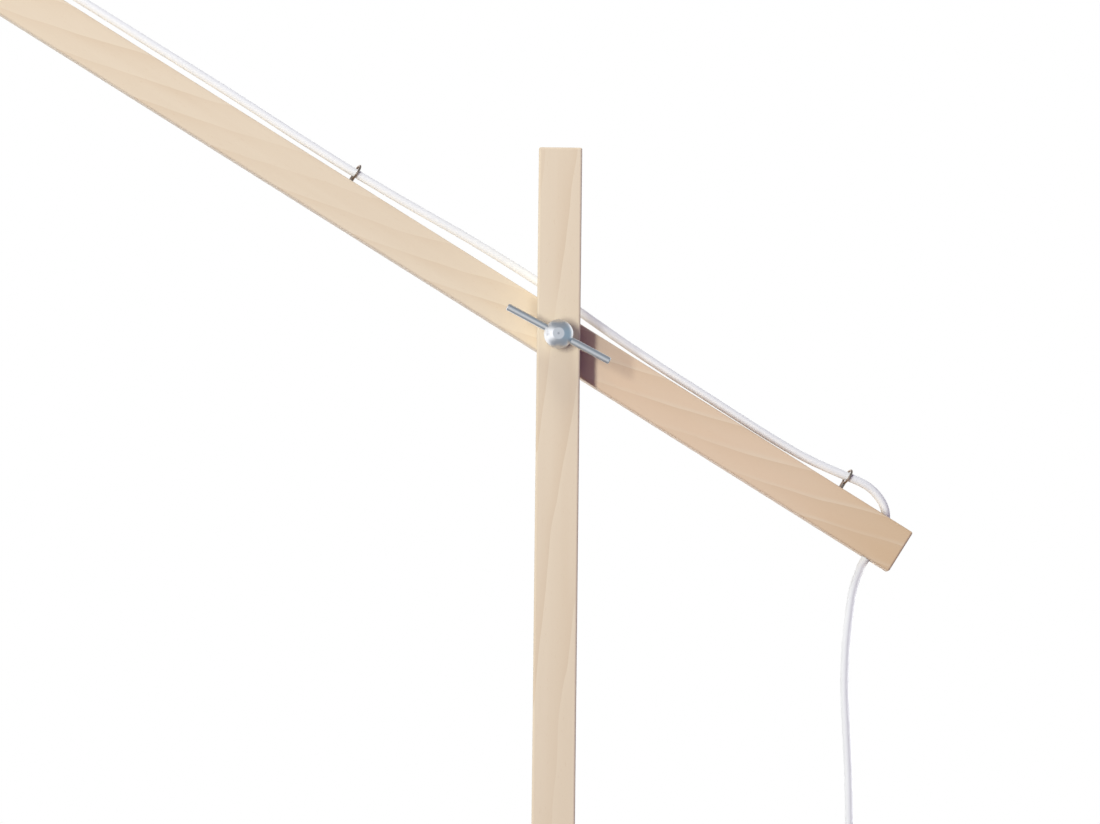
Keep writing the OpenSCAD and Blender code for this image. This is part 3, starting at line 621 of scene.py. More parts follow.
def smooth(points, steps):
    """A smooth curve through the points, with a number of steps between neighbours."""
    points = [Vector(point) for point in points]
    last = len(points) - 1
    curve = []
    for i in range(last):
        a, b, c, d = points[max(i - 1, 0)], points[i], points[i + 1], points[min(i + 2, last)]
        for k in range(steps):
            t = k / steps
            bend = (2 * a - 5 * b + 4 * c - d) * t * t + (3 * b - a - 3 * c + d) * t * t * t
            curve.append((2 * b + (c - a) * t + bend) / 2)
    return curve + [points[last]]


def ease(t):
    """From 0 to 1, slow at both ends."""
    return t * t * (3 - 2 * t)


def close_seams(bm):
    """Weld points that meet and turn all faces outwards."""
    bmesh.ops.remove_doubles(bm, verts=bm.verts, dist=WELD)
    bmesh.ops.recalc_face_normals(bm, faces=bm.faces)


def tube(points, radius):
    """A bmesh of a round tube through the points, closed at both ends."""
    curve = bpy.data.curves.new("route", "CURVE")
    curve.dimensions = "3D"
    curve.bevel_depth = radius
    curve.bevel_resolution = 6
    curve.use_fill_caps = True
    spline = curve.splines.new("POLY")
    spline.points.add(len(points) - 1)
    for i, place in enumerate(points):
        spline.points[i].co = (*place, 1.0)
    route = bpy.data.objects.new("route", curve)
    mesh = bpy.data.meshes.new_from_object(route)
    bm = bmesh.new()
    bm.from_mesh(mesh)
    bpy.data.objects.remove(route)
    bpy.data.curves.remove(curve)
    bpy.data.meshes.remove(mesh)
    close_seams(bm)
    return bm


def rounded(corners, closed=True):
    """Points of an outline of (u, v) or (u, v, radius) corners; a radius rounds its corner with an arc."""
    outline = []
    count, steps = len(corners), 5
    for i, corner in enumerate(corners):
        here = Vector(corner[:2])
        at_end = not closed and i in (0, count - 1)
        if len(corner) < 3 or at_end:
            outline.append(here)
            continue
        before = (Vector(corners[i - 1][:2]) - here).normalized()
        after = (Vector(corners[(i + 1) % count][:2]) - here).normalized()
        half = before.angle(after) / 2
        centre = here + (before + after).normalized() * corner[2] / math.sin(half)
        start = here + before * corner[2] / math.tan(half) - centre
        sweep = start.angle_signed(here + after * corner[2] / math.tan(half) - centre)
        for k in range(steps + 1):
            outline.append(centre + Matrix.Rotation(-sweep * k / steps, 2) @ start)
    return outline


def lathe(corners, closed=True, steps=72):
    """A bmesh spun about Z from an outline of (radius, height) corners; an open one ends on the axis."""
    bm = bmesh.new()
    ring = [bm.verts.new((point.x, 0, point.y)) for point in rounded(corners, closed)]
    pairs = list(zip(ring, ring[1:]))
    if closed:
        pairs.append((ring[-1], ring[0]))
    edges = [bm.edges.new(pair) for pair in pairs]
    bmesh.ops.spin(bm, geom=ring + edges, cent=(0, 0, 0), axis=(0, 0, 1), angle=2 * math.pi, steps=steps,
                   use_merge=True)
    close_seams(bm)
    return bm


def outline_loop(bm, corners, height):
    """Vertices and edges of a closed outline in a level plane."""
    ring = [bm.verts.new((point.x, point.y, height)) for point in rounded(corners)]
    return ring, [bm.edges.new((ring[i - 1], ring[i])) for i in range(len(ring))]


def inset_corners(corners, inset):
    """The corners of an outline moved in from both their edges, with what is left of their radii."""
    smallest = 0.0004
    moved = []
    for i, (u, v, radius) in enumerate(corners):
        here = Vector((u, v))
        before = (Vector(corners[i - 1][:2]) - here).normalized()
        after = (Vector(corners[(i + 1) % len(corners)][:2]) - here).normalized()
        spot = here + (before + after).normalized() * inset / math.sin(before.angle(after) / 2)
        moved.append((spot.x, spot.y, max(radius - inset, smallest)))
    return moved


def rectangle(width, length, radius):
    """Rounded corners of a rectangle about the origin."""
    u, v = width / 2, length / 2
    return [(-u, -v, radius), (u, -v, radius), (u, v, radius), (-u, v, radius)]


def move_made(bm, made, offset):
    """Move the points among what an operator has made."""
    bmesh.ops.translate(bm, vec=offset, verts=[part for part in made if isinstance(part, bmesh.types.BMVert)])


def pull(bm, edges, offset):
    """Extrude edges by an offset."""
    move_made(bm, bmesh.ops.extrude_edge_only(bm, edges=edges)["geom"], offset)


def soften(bm, edges, width, segments=3):
    """Round edges off."""
    bmesh.ops.bevel(bm, geom=edges, offset=width, segments=segments, profile=0.5, affect="EDGES",
                    material=-1, clamp_overlap=True)


def place(bm, matrix):
    """Move and turn a whole bmesh."""
    bmesh.ops.transform(bm, matrix=matrix, verts=bm.verts)
    return bm


def joined(parts):
    """One bmesh of several."""
    whole = bmesh.new()
    for part in parts:
        mesh = bpy.data.meshes.new("part")
        part.to_mesh(mesh)
        part.free()
        whole.from_mesh(mesh)
        bpy.data.meshes.remove(mesh)
    return whole


def add_piece(name, bm, material, body=None, nodes=()):
    """Turn a bmesh into a piece that stands for CAD nodes, and rides on a body if one is named."""
    for face in bm.faces:
        face.smooth = True
    mesh = bpy.data.meshes.new(name)
    bm.to_mesh(mesh)
    bm.free()
    mesh.set_sharp_from_angle(angle=CREASE)
    mesh.materials.append(material)
    piece = bpy.data.objects.new(name, mesh)
    bpy.context.collection.objects.link(piece)
    if body:
        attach(piece, body)
    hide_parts(*nodes)
    return piece


def dress(material, *nodes):
    """Give CAD nodes a finish."""
    for node in nodes:
        NODES[node].material_slots[0].material = material


def sleeve_outline(root, tip):
    """Outline of a tapered bend relief on the lead, with grooves round it."""
    bore, grooves, depth, lean, edge = LEAD_R + 0.00005, 6, 0.0007, 0.0002, 0.0003
    corners = [(bore, 0), (root, 0, 0.0004)]
    pitch = SLEEVE_L * 0.8 / grooves
    for k in range(grooves):
        z = SLEEVE_L * 0.12 + k * pitch
        end = z + pitch * 0.4
        outer = root + (tip - root) * z / SLEEVE_L
        corners += [(outer, z, edge), (outer - depth, z + lean), (outer - depth, end),
                    (outer - 0.0001, end + lean, edge)]
    return corners + [(tip, SLEEVE_L, 0.0005), (bore, SLEEVE_L)]


# Operators
class LAMP_OT_wood(bpy.types.Operator):
    """Finish the beech post and arm"""

    bl_idname = "lamp.wood"
    bl_label = "Post and arm"

    def execute(self, context):
        middle = (POST_LOW + POST_HIGH) / 2
        upright = (0, -math.pi / 2, 0)
        post = beech("post_beech", middle, upright, axis=(0, 0, 1), pith=(0.055, -0.04), drift=0.06)
        dress(post, "post")
        along = (math.cos(ARM_SLOPE), 0, -math.sin(ARM_SLOPE))
        # The tail's tan and deeper tone are partly wood colour and partly painted shade.
        tones = ((0.0, 0.06), (0.17, 0.29))
        slope = (0, ARM_SLOPE, 0)
        arm = beech("arm_beech", PIVOT, slope, axis=along, pith=(0.04, 0.05), drift=0.17, tail=tones)
        dress(arm, "arm")
        return {"FINISHED"}


class LAMP_OT_clamp(bpy.types.Operator):
    """Finish the ball knob, its cross bar, the bolt, the washer and the friction disc"""

    bl_idname = "lamp.clamp"
    bl_label = "Clamp"

    def execute(self, context):
        metal = settings("metal")
        dress(turned_steel("knob_steel", KNOB, (0, 0, 0)), "clamp_knob")
        dress(drawn_steel("bar_steel", KNOB, (0, BAR_SLOPE, 0)), "cross_bar")
        dress(plated_metal("bolt_zinc", metal.zinc, toned(metal.zinc, 0.8)), "pivot_bolt", "clamp_washer")
        dress(speckled("disc_fibre", (0.28, 0.14, 0.08), (0.4, 0.24, 0.15)), "friction_disc")
        return {"FINISHED"}


class LAMP_OT_eyes(bpy.types.Operator):
    """Bend the screw eyes from wire and screw them into the top of the arm"""

    bl_idname = "lamp.eyes"
    bl_label = "Screw eyes"

    def execute(self, context):
        metal = settings("metal")
        in_arm = Matrix.Translation(PIVOT) @ Matrix.Rotation(ARM_SLOPE, 4, "Y")
        parts = []
        for along, rise in EYES:
            seat = Matrix.Translation((along, 0, ARM_TOP)) @ Matrix.Rotation(EYE_TURN, 4, "Z")
            parts.append(place(self.eye(rise), in_arm @ seat))
        # The wire gets a dark brown that paints in its reflection of the wood.
        finish = plated_metal("eye_wire_painted_reflection", metal.wire, toned(metal.wire, 0.75))
        add_piece("screw_eye_set", joined(parts), finish, "arm", ["screw_eyes"])
        return {"FINISHED"}

    def eye(self, rise):
        """A pointed shank with a shoulder, and the ring that is bent above it, in metres above the wood."""
        wire, shank, tip, taper = 0.0008, 0.0016, -0.0138, 0.004
        top = rise - EYE_RING + 0.0014
        stem = lathe([(0, tip), (0.0003, tip), (shank, tip + taper), (shank, top, 0.0007), (0, top)],
                     closed=False, steps=20)
        ring = bmesh.new()
        section = bmesh.ops.create_circle(ring, segments=14, radius=wire,
                                          matrix=Matrix.Translation((0, EYE_RING, 0)))
        bmesh.ops.spin(ring, geom=section["verts"] + ring.edges[:], cent=(0, 0, 0), axis=(1, 0, 0),
                       angle=2 * math.pi, steps=44, use_merge=True)
        close_seams(ring)
        return joined([stem, place(ring, Matrix.Translation((0, 0, rise)))])


class LAMP_OT_base(bpy.types.Operator):
    """Finish the base plate and what holds the post, and lay the felt"""

    bl_idname = "lamp.base"
    bl_label = "Base"

    def execute(self, context):
        paint, metal = settings("paint"), settings("metal")
        dress(powder_coat("base_paint", paint.base), "base_plate")
        zinc = plated_metal("base_zinc", metal.zinc, toned(metal.zinc, 0.8))
        dress(zinc, "base_bolt", "locating_pin", "post_insert")
        low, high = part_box("base_pad")
        rim = (high.x - low.x) / 2
        pad = lathe([(0, low.z), (rim - 0.0004, low.z, 0.0005), (rim, (low.z + high.z) / 2, 0.0008),
                     (rim - 0.0003, high.z, 0.0004), (0, high.z)], closed=False, steps=160)
        add_piece("felt_pad", pad, pressed_felt("felt", paint.felt), "stand", ["base_pad"])
        return {"FINISHED"}


class LAMP_OT_holder(bpy.types.Operator):
    """Turn the cord grip, cap and body of the lamp holder"""

    bl_idname = "lamp.holder"
    bl_label = "Lamp holder"

    def execute(self, context):
        paint, metal = settings("paint"), settings("metal")
        plastic = moulded("holder_plastic", paint.plastic)
        self.add("holder_grip", self.grip(), plastic, "cord_grip")
        self.add("holder_top", self.cap(), plastic, "holder_cap")
        self.add("holder_tube", self.tube_body(), plastic, "holder_body")
        dress(plastic, "grip_screw", "shade_ring")
        dress(speckled("holder_block", (0.85, 0.83, 0.77), (0.78, 0.75, 0.68)), "holder_insert")
        dress(plated_metal("contact_brass", metal.brass, toned(metal.brass, 0.75)),
              "holder_contact", "thread_sleeve", "switch_terminals")
        return {"FINISHED"}

    def add(self, name, bm, finish, node):
        """Stand a turned part where its CAD node stands."""
        low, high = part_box(node)
        middle = (low + high) / 2
        place(bm, Matrix.Translation((middle.x, middle.y, low.z)))
        add_piece(name, bm, finish, "pendant", [node])

    def grip(self):
        """A tapered collar on a short nipple, with a rounded lip about the lead."""
        bore, nipple = LEAD_R + 0.0002, 0.005
        return lathe([
            (bore, 0), (nipple, 0, 0.0004), (nipple, NIPPLE_L), (0.007, NIPPLE_L, 0.0006),
            (0.0064, NIPPLE_L + 0.009, 0.002), (0.0062, NIPPLE_L + GRIP_H, 0.0016),
            (bore, NIPPLE_L + GRIP_H, 0.0006)])

    def cap(self):
        """A thin cap with soft shoulders and a bead at its mouth."""
        outer, mouth, hole = 0.02305, 0.02105, 0.00505
        return lathe([
            (mouth, 0), (outer, 0, 0.0008), (outer, 0.0022, 0.0005), (outer - 0.0005, 0.003, 0.0005),
            (outer - 0.0003, 0.01, 0.006), (0.02005, 0.02, 0.006), (0.01, 0.032, 0.002),
            (hole, 0.032, 0.0004), (hole, 0.03), (0.008, 0.03, 0.002), (mouth - 0.003, 0.018, 0.004),
            (mouth, 0.01, 0.004)])

    def tube_body(self):
        """A plain tube below the shade ring, with the grooves of its thread and a collar at its top."""
        outer, inner, length, collar, rim = 0.02, 0.0174, 0.048, 0.008, 0.021
        start, pitch, grooves = 0.006, 0.003, 11
        root = outer - 0.0006
        corners = [(inner, 0, 0.0008), (outer - 0.0004, 0, 0.0012)]
        for k in range(grooves):
            z = start + pitch * k
            corners += [(outer, z, 0.0004), (outer, z + 0.0012, 0.0004), (root, z + 0.0018, 0.0003),
                        (root, z + 0.0024, 0.0003)]
        return lathe(corners + [
            (outer, length - 0.004), (outer, length), (rim, length, 0.0003), (rim, length + collar, 0.0003),
            (inner, length + collar)])


class LAMP_OT_shade(bpy.types.Operator):
    """Enamel the shade and finish the bulb"""

    bl_idname = "lamp.shade"
    bl_label = "Shade and bulb"

    def execute(self, context):
        dress(spun_enamel("shade_enamel", settings("paint").shade), "shade")
        dress(frosted_glass("frosted_glass"), "bulb_glass")
        dress(plated_metal("bulb_metal", (0.76, 0.76, 0.77), (0.62, 0.62, 0.64)), "bulb_cap")
        dress(speckled("bulb_insulator", (0.05, 0.05, 0.055), (0.09, 0.09, 0.1)), "bulb_tip")
        return {"FINISHED"}


class LAMP_OT_switch(bpy.types.Operator):
    """Build the switch in the lead, with its two half shells, rocker and bend reliefs"""

    bl_idname = "lamp.switch"
    bl_label = "Switch"

    def execute(self, context):
        paint, metal = settings("paint"), settings("metal")
        plastic = moulded("switch_plastic", paint.plastic)
        at_switch = Matrix.Translation(SWITCH)
        tray, lid = place(self.tray(), at_switch), place(self.lid(), at_switch)
        add_piece("switch_tray", tray, plastic, "stand", ["switch_base"])
        add_piece("switch_lid", lid, plastic, "stand", ["switch_cover"])
        grey = moulded("rocker_plastic", toned(paint.plastic, 0.92), gloss=0.22)
        rest_tilt = math.radians(8)
        at_axle = Matrix.Translation(ROCKER_AXLE) @ Matrix.Rotation(rest_tilt, 4, "X")
        key = place(self.rocker(), at_axle)
        add_piece("switch_key", key, grey, "rocker", ["switch_rocker"])
        rubber = soft_rubber("relief_rubber", settings("leads").relief)
        add_piece("lead_sleeves", self.sleeves(), rubber, "stand", ["bend_reliefs"])
        dress(plated_metal("screw_zinc", metal.zinc, toned(metal.zinc, 0.8)), "switch_screws", "rocker_pin")
        return {"FINISHED"}

    def tray(self):
        """Lower half shell, open at the top."""
        bm = bmesh.new()
        ring, edges = outline_loop(bm, rectangle(SWITCH_W, SWITCH_L, 0.008), 0.0002)
        bm.faces.new(ring)
        pull(bm, edges, (0, 0, SWITCH_SPLIT - 0.0003))
        bmesh.ops.recalc_face_normals(bm, faces=bm.faces)
        soften(bm, edges, 0.0014)
        bmesh.ops.solidify(bm, geom=bm.faces[:], thickness=SWITCH_WALL)
        return bm

    def lid(self):
        """Upper half shell with the opening of the rocker."""
        bm = bmesh.new()
        ring, outer = outline_loop(bm, rectangle(SWITCH_W, SWITCH_L, 0.008), SWITCH_H)
        ring, inner = outline_loop(bm, rectangle(0.0118, 0.0184, 0.0006), SWITCH_H)
        bmesh.ops.bridge_loops(bm, edges=outer + inner)
        pull(bm, outer, (0, 0, SWITCH_SPLIT + 0.0001 - SWITCH_H))
        bmesh.ops.recalc_face_normals(bm, faces=bm.faces)
        soften(bm, outer, 0.003, 5)
        bmesh.ops.solidify(bm, geom=bm.faces[:], thickness=SWITCH_WALL)
        return bm

    def rocker(self):
        """The rocker about its axle, dished along the top."""
        half, width = 0.0084, 0.011
        bm = bmesh.new()
        side = rounded([
            (-half, 0.0036, 0.0007), (0, 0.0026, 0.012), (half, 0.0036, 0.0007),
            (half - 0.0004, -0.0022, 0.0005), (0.003, -0.0044, 0.0006), (-0.003, -0.0044, 0.0006),
            (-half + 0.0004, -0.0022, 0.0005)])
        face = bm.faces.new([bm.verts.new((-width / 2, point.x, point.y)) for point in side])
        move_made(bm, bmesh.ops.extrude_face_region(bm, geom=[face])["geom"], (width, 0, 0))
        bmesh.ops.recalc_face_normals(bm, faces=bm.faces)
        rims = [edge for edge in bm.edges if abs(edge.verts[0].co.x - edge.verts[1].co.x) < WELD]
        soften(bm, rims, 0.0004, 2)
        return bm

    def sleeves(self):
        """Two grooved reliefs, one at each end."""
        parts = []
        outline = sleeve_outline(root=0.0046, tip=0.0038)
        at_lead = Matrix.Translation(SWITCH + Vector((0, 0, SWITCH_SPLIT)))
        at_end = Matrix.Translation((0, 0, SWITCH_L / 2))
        for turn in (-math.pi / 2, math.pi / 2):
            parts.append(place(lathe(outline, steps=40), at_lead @ Matrix.Rotation(turn, 4, "X") @ at_end))
        return joined(parts)


class LAMP_OT_strap(bpy.types.Operator):
    """Tie the coil with a strap that laps over itself"""

    bl_idname = "lamp.strap"
    bl_label = "Coil strap"

    def execute(self, context):
        low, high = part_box("coil_tie")
        thick, width = 0.0012, high.x - low.x
        band = thick * 0.85
        half_w, half_h = (high.y - low.y - thick) / 2, (high.z - low.z - thick) / 2
        corner, lap = 0.0036, 0.0011
        path = rounded([
            (0.005, half_h), (-half_w, half_h, corner), (-half_w, -half_h, corner), (half_w, -half_h, corner),
            (half_w, half_h, corner), (0.0085, half_h, 0.004), (0.0053, half_h + lap, 0.004),
            (-0.008, half_h + lap)], closed=False)
        bm = bmesh.new()
        ring = [bm.verts.new((-width / 2, point.x, point.y)) for point in path]
        pull(bm, [bm.edges.new(pair) for pair in zip(ring, ring[1:])], (width, 0, 0))
        bmesh.ops.recalc_face_normals(bm, faces=bm.faces)
        bmesh.ops.solidify(bm, geom=bm.faces[:], thickness=band)
        place(bm, Matrix.Translation((low + high) / 2))
        finish = hook_strap("tie_strap", settings("leads").strap)
        add_piece("coil_strap", bm, finish, "stand", ["coil_tie"])
        return {"FINISHED"}


class LAMP_OT_plug(bpy.types.Operator):
    """Build the flat plug and its bend relief, and finish the pins"""

    bl_idname = "lamp.plug"
    bl_label = "Plug"

    def execute(self, context):
        at_plug = Matrix.Translation(PLUG) @ Matrix.Rotation(math.pi, 4, "Z")
        plastic = moulded("plug_plastic", settings("paint").plastic)
        add_piece("plug_shell", place(self.shell(), at_plug), plastic, "stand", ["plug_body"])
        outline = sleeve_outline(root=0.0038, tip=0.005)
        sleeve = place(lathe(outline, steps=40), at_plug @ Matrix.Rotation(math.pi / 2, 4, "Y"))
        rubber = soft_rubber("plug_rubber", settings("leads").relief)
        add_piece("plug_sleeve", sleeve, rubber, "stand", ["plug_relief"])
        nickel = settings("metal").nickel
        dress(plated_metal("pin_metal", nickel, toned(nickel, 0.85)), "plug_pins")
        return {"FINISHED"}

    def shell(self):
        """A flat body, wider at the pins than at the lead, with round edges and a thumb rest on each side."""
        back, waist, front = SLEEVE_L, SLEEVE_L + PLUG_L / 3, SLEEVE_L + PLUG_L
        neck, corner, bend = 0.008, 0.0036, 0.008
        corners = [
            (back, -neck, corner), (waist, -PLUG_W / 2, bend), (front, -PLUG_W / 2, corner),
            (front, PLUG_W / 2, corner), (waist, PLUG_W / 2, bend), (back, neck, corner)]
        edge, rim, wall, dip, steps = 0.0032, 0.0025, 0.0008, 0.0006, 6
        profile = [(edge + rim + wall, dip), (edge + rim, 0)]
        for k in range(steps + 1):
            turn = math.pi / 2 * k / steps
            profile.append((edge * (1 - math.sin(turn)), edge * (1 - math.cos(turn))))
        levels = [(inset, rise - PLUG_H / 2) for inset, rise in profile]
        levels += [(inset, PLUG_H / 2 - rise) for inset, rise in reversed(profile)]
        bm = bmesh.new()
        loops = [outline_loop(bm, inset_corners(corners, inset), height) for inset, height in levels]
        for (_, below), (_, above) in zip(loops, loops[1:]):
            bmesh.ops.bridge_loops(bm, edges=below + above)
        for ring, _ in (loops[0], loops[-1]):
            bm.faces.new(ring)
        bmesh.ops.recalc_face_normals(bm, faces=bm.faces)
        return bm


class LAMP_OT_leads(bpy.types.Operator):
    """Run the lead along the arm, down to the shade, down to the switch and into its coil"""

    bl_idname = "lamp.leads"
    bl_label = "Leads"

    def execute(self, context):
        finish = sheath("cord_sheath")
        self.arm_lead(finish)
        self.pendant_lead(finish)
        self.hanging_lead(finish)
        self.coiled_lead(finish)
        return {"FINISHED"}

    def arm_lead(self, finish):
        """Up through the lamp hole, along the arm through its eyes, and into the tail hole."""
        runs = (
            [(LAMP_HOLE, -2 * ARM_TOP)] + [(LAMP_HOLE + s, z) for s, z in LAMP_RUN] + list(MIDDLE_RUN)
            + [(TAIL_HOLE + s, z) for s, z in TAIL_RUN] + [(TAIL_HOLE, -2 * ARM_TOP)])
        path = smooth([arm_point(s, ARM_TOP + z) for s, z in runs], 6)
        piece = add_piece("arm_lead", tube(path, LEAD_R), finish, "arm", ["arm_cord"])

    def pendant_lead(self, finish):
        """From the lamp hole down into the holder."""
        grip_top = LAMP_EXIT + Vector((PENDANT_RUN[-1][0], 0, -PENDANT_DROP))
        route = [LAMP_EXIT] + [LAMP_EXIT + Vector((x, 0, z)) for x, z in PENDANT_RUN]
        route += [grip_top + Vector((0, 0, 0.01)), grip_top - Vector((0, 0, GRIP_H + NIPPLE_L))]
        path = smooth(route, 6)
        piece = add_piece("pendant_lead", tube(path, LEAD_R), finish, nodes=["pendant_cord"])
        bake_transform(piece)

    def hanging_lead(self, finish):
        """From the tail hole down to the switch."""
        exit_point = arm_point(TAIL_HOLE, -ARM_TOP)
        below = arm_point(TAIL_HOLE, -ARM_TOP - 2 * LEAD_R)
        tip = SWITCH + Vector((0, -SLEEVE_TIP, SWITCH_SPLIT))
        route = [below, *HANG_RUN, tip - Vector((0, 2 * LEAD_R, 0))]
        path = [exit_point] + smooth(route, 6) + [tip]
        piece = add_piece("hanging_lead", tube(path, LEAD_R), finish, nodes=["hanging_cord"])
        free = settings("leads").bend_length
        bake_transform(piece)

    def coiled_lead(self, finish):
        """From the switch into a coil that winds in, climbs a layer and winds out, and on to the plug."""
        down, climb = 360 * COIL_TURNS, 180
        sweep = down + climb + 360 * (COIL_TURNS - 0.25)
        lead = 2 * LEAD_R
        start = SWITCH + Vector((0, SLEEVE_TIP, 0))
        points = []
        for t in (0, lead, 0.018, 0.031):
            fall = ease(max(0, t - lead) / (LEAD_IN - lead))
            points.append(start + Vector((0, t, SWITCH_SPLIT + (COIL_LOW - SWITCH_SPLIT) * fall)))
        for turn in range(0, int(sweep) + 1, 15):
            inward = turn < down + climb / 2
            radius = COIL_OUT - COIL_PITCH * turn / 360
            if not inward:
                radius = COIL_IN + COIL_PITCH * (turn - down - climb) / 360
            rise = ease(min(1, max(0, (turn - down) / climb)))
            angle = math.radians(turn)
            level = COIL_LOW + (COIL_HIGH - COIL_LOW) * rise
            points.append(COIL + Vector((radius * math.cos(angle), radius * math.sin(angle), level)))
        for t in (0.012, 0.024, 0.034, LEAD_OUT - lead, LEAD_OUT):
            fall = ease(max(0, min(1, (t - 2 * lead) / (LEAD_OUT - 3 * lead))))
            points.append(Vector((COIL.x - t, PLUG.y, COIL_HIGH + (PLUG.z - COIL_HIGH) * fall)))
        path = smooth(points, 3)
        piece = add_piece("coiled_lead", tube(path, LEAD_R), finish, "stand", ["cord_coil"])


class LAMP_OT_stage(bpy.types.Operator):
    """Set the camera, the lamps, the background and the floor"""

    bl_idname = "lamp.stage"
    bl_label = "Stage"

    def execute(self, context):
        stage = settings("stage")
        self.camera(context, stage)
        key_spot, key_size = (-1.21, -3.28, 1.4), (0.3, 1.6)
        key_lamp = self.area("key_lamp", key_spot, PIVOT, key_size, stage.key)
        lead_lamp = self.area("lead_lamp", key_spot, PIVOT, key_size, stage.key)
        self.area("top_lamp", (-0.38, -1.03, 4.18), PIVOT, (0.8, 0.8), stage.top)
        side_lamp = self.area("side_lamp", (1.25, 0.45, 0.85), HANG_MIDDLE, (0.2, 0.5), stage.side, spread=40)
        self.share_leads(key_lamp, lead_lamp, side_lamp)
        self.area("low_lamp", (-0.35, 0.9, 0.17), PIVOT, (0.5, 0.5), stage.low, spread=100)
        post_middle = (0, 0, 0.9)
        self.area("back_lamp", (0.4, 3.0, 3.1), post_middle, (1.2, 1.2), stage.back)
        self.background(context, stage)
        self.floor(stage)
        context.scene.view_settings.view_transform = "Standard"
        return {"FINISHED"}

    def camera(self, context, stage):
        """Look up from the front at a point just below the clamp, with the picture leaning right."""
        aim_left, aim_down = 0.00593, 0.05388
        ahead = Vector((0, math.cos(stage.tilt), math.sin(stage.tilt)))
        above = Vector((0, -math.sin(stage.tilt), math.cos(stage.tilt)))
        across = Vector((1, 0, 0))
        right = across * math.cos(stage.roll) + above * math.sin(stage.roll)
        up = above * math.cos(stage.roll) - across * math.sin(stage.roll)
        target = KNOB - right * aim_left - up * aim_down
        data = bpy.data.cameras.new("camera")
        data.lens = stage.lens
        data.sensor_width = 36.0
        camera = bpy.data.objects.new("camera", data)
        turn = Matrix((right, up, -ahead)).transposed().to_4x4()
        camera.matrix_world = Matrix.Translation(target - ahead * stage.distance) @ turn
        context.collection.objects.link(camera)
        context.scene.camera = camera

    def area(self, name, spot, target, size, power, spread=180):
        """A lamp at a spot that faces a target, with its spread in degrees; metal and camera don't see it."""
        data = bpy.data.lights.new(name, "AREA")
        data.spread = math.radians(spread)
        data.shape = "RECTANGLE"
        data.size, data.size_y = size
        data.energy = power
        data.color = LAMP_TINT
        lamp = bpy.data.objects.new(name, data)
        lamp.location = spot
        lamp.rotation_euler = (Vector(target) - Vector(spot)).to_track_quat("-Z", "Y").to_euler()
        lamp.visible_glossy = False
        lamp.visible_camera = False
        bpy.context.collection.objects.link(lamp)
        return lamp

    def share_leads(self, key_lamp, lead_lamp, side_lamp):
        """Keep the post's shade off the arm's lead, and the side lamp on the hanging lead alone."""
        lead, hanging = bpy.data.objects["arm_lead"], bpy.data.objects["hanging_lead"]
        key_lamp.light_linking.receiver_collection = self.lamp_set("key_receivers", lead, "EXCLUDE")
        lead_lamp.light_linking.receiver_collection = self.lamp_set("lead_receivers", lead, "INCLUDE")
        lead_lamp.light_linking.blocker_collection = self.lamp_set("lead_blockers", NODES["post"], "EXCLUDE")
        side_lamp.light_linking.receiver_collection = self.lamp_set("side_receivers", hanging, "INCLUDE")

    def lamp_set(self, name, piece, state):
        """Name one piece that a lamp takes in or leaves out."""
        pieces = bpy.data.collections.new(name)
        pieces.objects.link(piece)
        pieces.collection_objects[0].light_linking.link_state = state
        return pieces

    def background(self, context, stage):
        """White to the camera, a fill to matt surfaces, and a studio from pale to blue-grey to metal."""
        window, wall, dim = (1.7, 1.7, 1.7), (1.5, 1.5, 1.5), (0.36, 0.39, 0.43)
        dusk = (0.07, 0.04, 0.10)
        world = bpy.data.worlds.new("studio")
        board = Board(world)
        ray = board.node("ShaderNodeLightPath").socket.node.outputs
        x, y, z = board.split(board.node("ShaderNodeTexCoord", output="Generated"))
        side = board.node("ShaderNodeValToRGB", {"stops": (
            (0.0, WHITE), (0.22, WHITE), (0.5, (0.86, 0.88, 0.92)), (0.72, (0.4, 0.53, 0.64)),
            (1.0, (0.34, 0.46, 0.56)))}, {"Fac": x * 0.5 + 0.5})
        side = board.mix(board.between(0.0 - x, 0.25, 0.65), side, window)
        level = board.between(z.math("ABSOLUTE", z), 0.3, 0.85)
        front = board.mix(level, side, dim)
        room = board.mix(board.between(y, 0.3, 0.7) * (1.0 - level), front, wall)
        matt = board.mix(board.between(z, 0.2, 0.6), stage.shade, dusk)
        matt = board.mix(board.between(x, -0.65, 0.1), stage.fill, matt)
        behind = board.mix(board.between(x, -0.1, 0.4), stage.fill, toned(stage.fill, 1.8))
        matt = board.mix(board.between(y, -0.05, 0.35), matt, behind)
        matt = board.mix(board.between(z, 0.2, 0.8) * board.between(y, -0.2, 0.2), matt, stage.sky)
        seen = board.mix(Signal(board, ray["Is Glossy Ray"]), matt, room)
        through = Signal(board, ray["Is Camera Ray"]) + Signal(board, ray["Is Transmission Ray"])
        light = board.node("ShaderNodeBackground", None,
                           {"Color": board.mix(through, seen, WHITE), "Strength": 1.0})
        board.node("ShaderNodeOutputWorld", None, {"Surface": light})
        context.scene.world = world

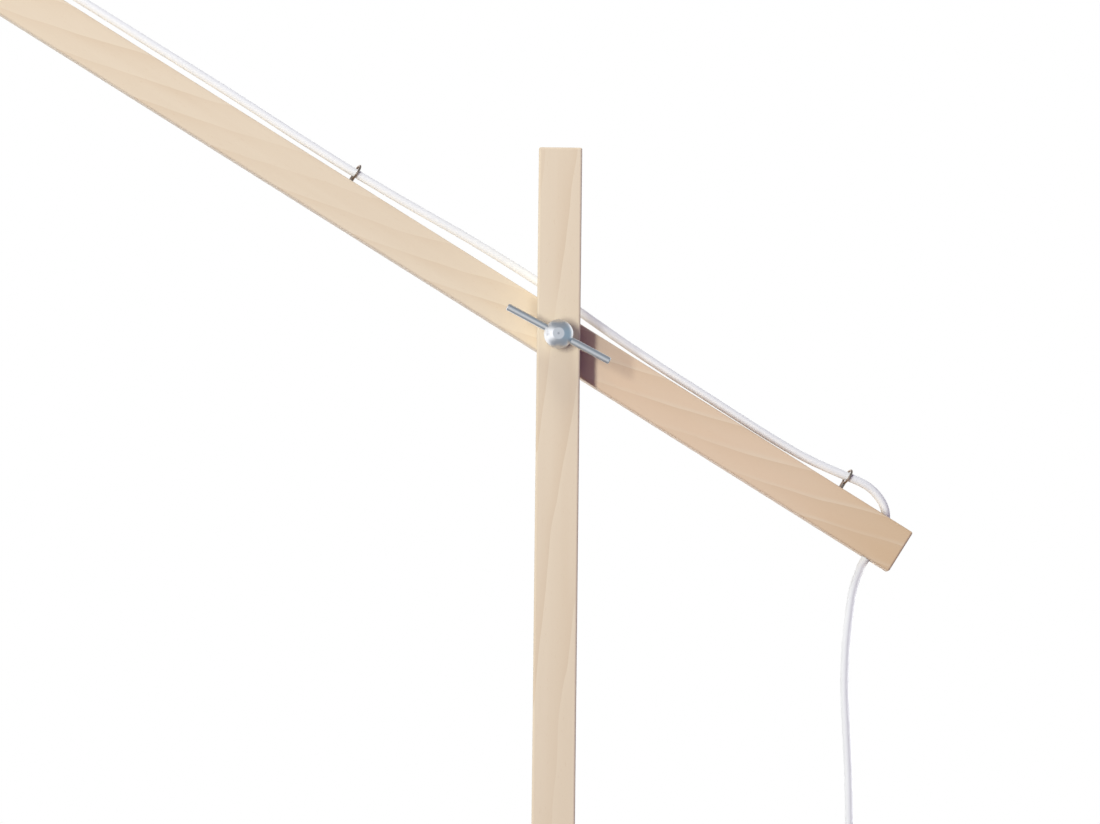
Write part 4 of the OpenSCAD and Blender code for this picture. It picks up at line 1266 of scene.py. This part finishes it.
    def floor(self, stage):
        """A pale round floor that fades into the background, and sends its own even light up."""
        rim, fade_from, fade_to = 4.0, 0.9, 3.2
        bm = bmesh.new()
        bmesh.ops.create_circle(bm, cap_ends=True, segments=96, radius=rim)
        mesh = bpy.data.meshes.new("floor")
        bm.to_mesh(mesh)
        bm.free()
        material, board = new_finish("floor_paint")
        material.cycles.emission_sampling = "NONE"
        spot = board.coordinates()
        x, y, z = board.split(spot)
        ray = board.node("ShaderNodeLightPath").socket.node.outputs
        camera_ray = Signal(board, ray["Is Camera Ray"])
        fade = board.between((x ** 2.0 + y ** 2.0) ** 0.5, fade_from, fade_to) * camera_ray
        grain = board.noise(spot, 40.0, 3.0)
        matt = board.node("ShaderNodeBsdfPrincipled", None, {
            "Base Color": board.mix(grain * 0.3, stage.floor, toned(stage.floor, 0.96)), "Roughness": 0.85})
        colour = board.mix(camera_ray, stage.bounce, WHITE)
        glow = board.node("ShaderNodeEmission", None, {"Color": colour, "Strength": 1.0})
        both = board.node("ShaderNodeMixShader", None, {
            0: fade + Signal(board, ray["Is Diffuse Ray"]), 1: matt, 2: glow})
        board.node("ShaderNodeOutputMaterial", None, {"Surface": both})
        mesh.materials.append(material)
        floor = bpy.data.objects.new("floor", mesh)
        floor.visible_glossy = False
        bpy.context.collection.objects.link(floor)


class LAMP_PT_panel(bpy.types.Panel):
    """The settings and steps of the lamp"""

    bl_idname = "LAMP_PT_panel"
    bl_label = "Floor lamp"
    bl_space_type = "VIEW_3D"
    bl_region_type = "UI"
    bl_category = "Lamp"

    def draw(self, context):
        for name, group in SETTINGS.items():
            box = self.layout.box()
            box.label(text=group.__doc__.rstrip("."))
            for key in group.__annotations__:
                box.prop(getattr(context.scene, name), key)
        for operator in OPERATORS:
            self.layout.operator(operator.bl_idname)


OPERATORS = (
    LAMP_OT_wood, LAMP_OT_clamp, LAMP_OT_eyes, LAMP_OT_base, LAMP_OT_holder, LAMP_OT_shade, LAMP_OT_switch,
    LAMP_OT_strap, LAMP_OT_plug, LAMP_OT_leads, LAMP_OT_stage,
)
CLASSES = (*SETTINGS.values(), *OPERATORS, LAMP_PT_panel)


def register():
    for cls in CLASSES:
        bpy.utils.register_class(cls)
    for name, group in SETTINGS.items():
        setattr(bpy.types.Scene, name, bpy.props.PointerProperty(type=group))


def unregister():
    for name in SETTINGS:
        delattr(bpy.types.Scene, name)
    for cls in reversed(CLASSES):
        bpy.utils.unregister_class(cls)


def main():
    register()
    bpy.ops.lamp.wood()
    bpy.ops.lamp.clamp()
    bpy.ops.lamp.eyes()
    bpy.ops.lamp.base()
    bpy.ops.lamp.holder()
    bpy.ops.lamp.shade()
    bpy.ops.lamp.switch()
    bpy.ops.lamp.strap()
    bpy.ops.lamp.plug()
    bpy.ops.lamp.leads()
    bpy.ops.lamp.stage()


if __name__ == "__main__":
    main()
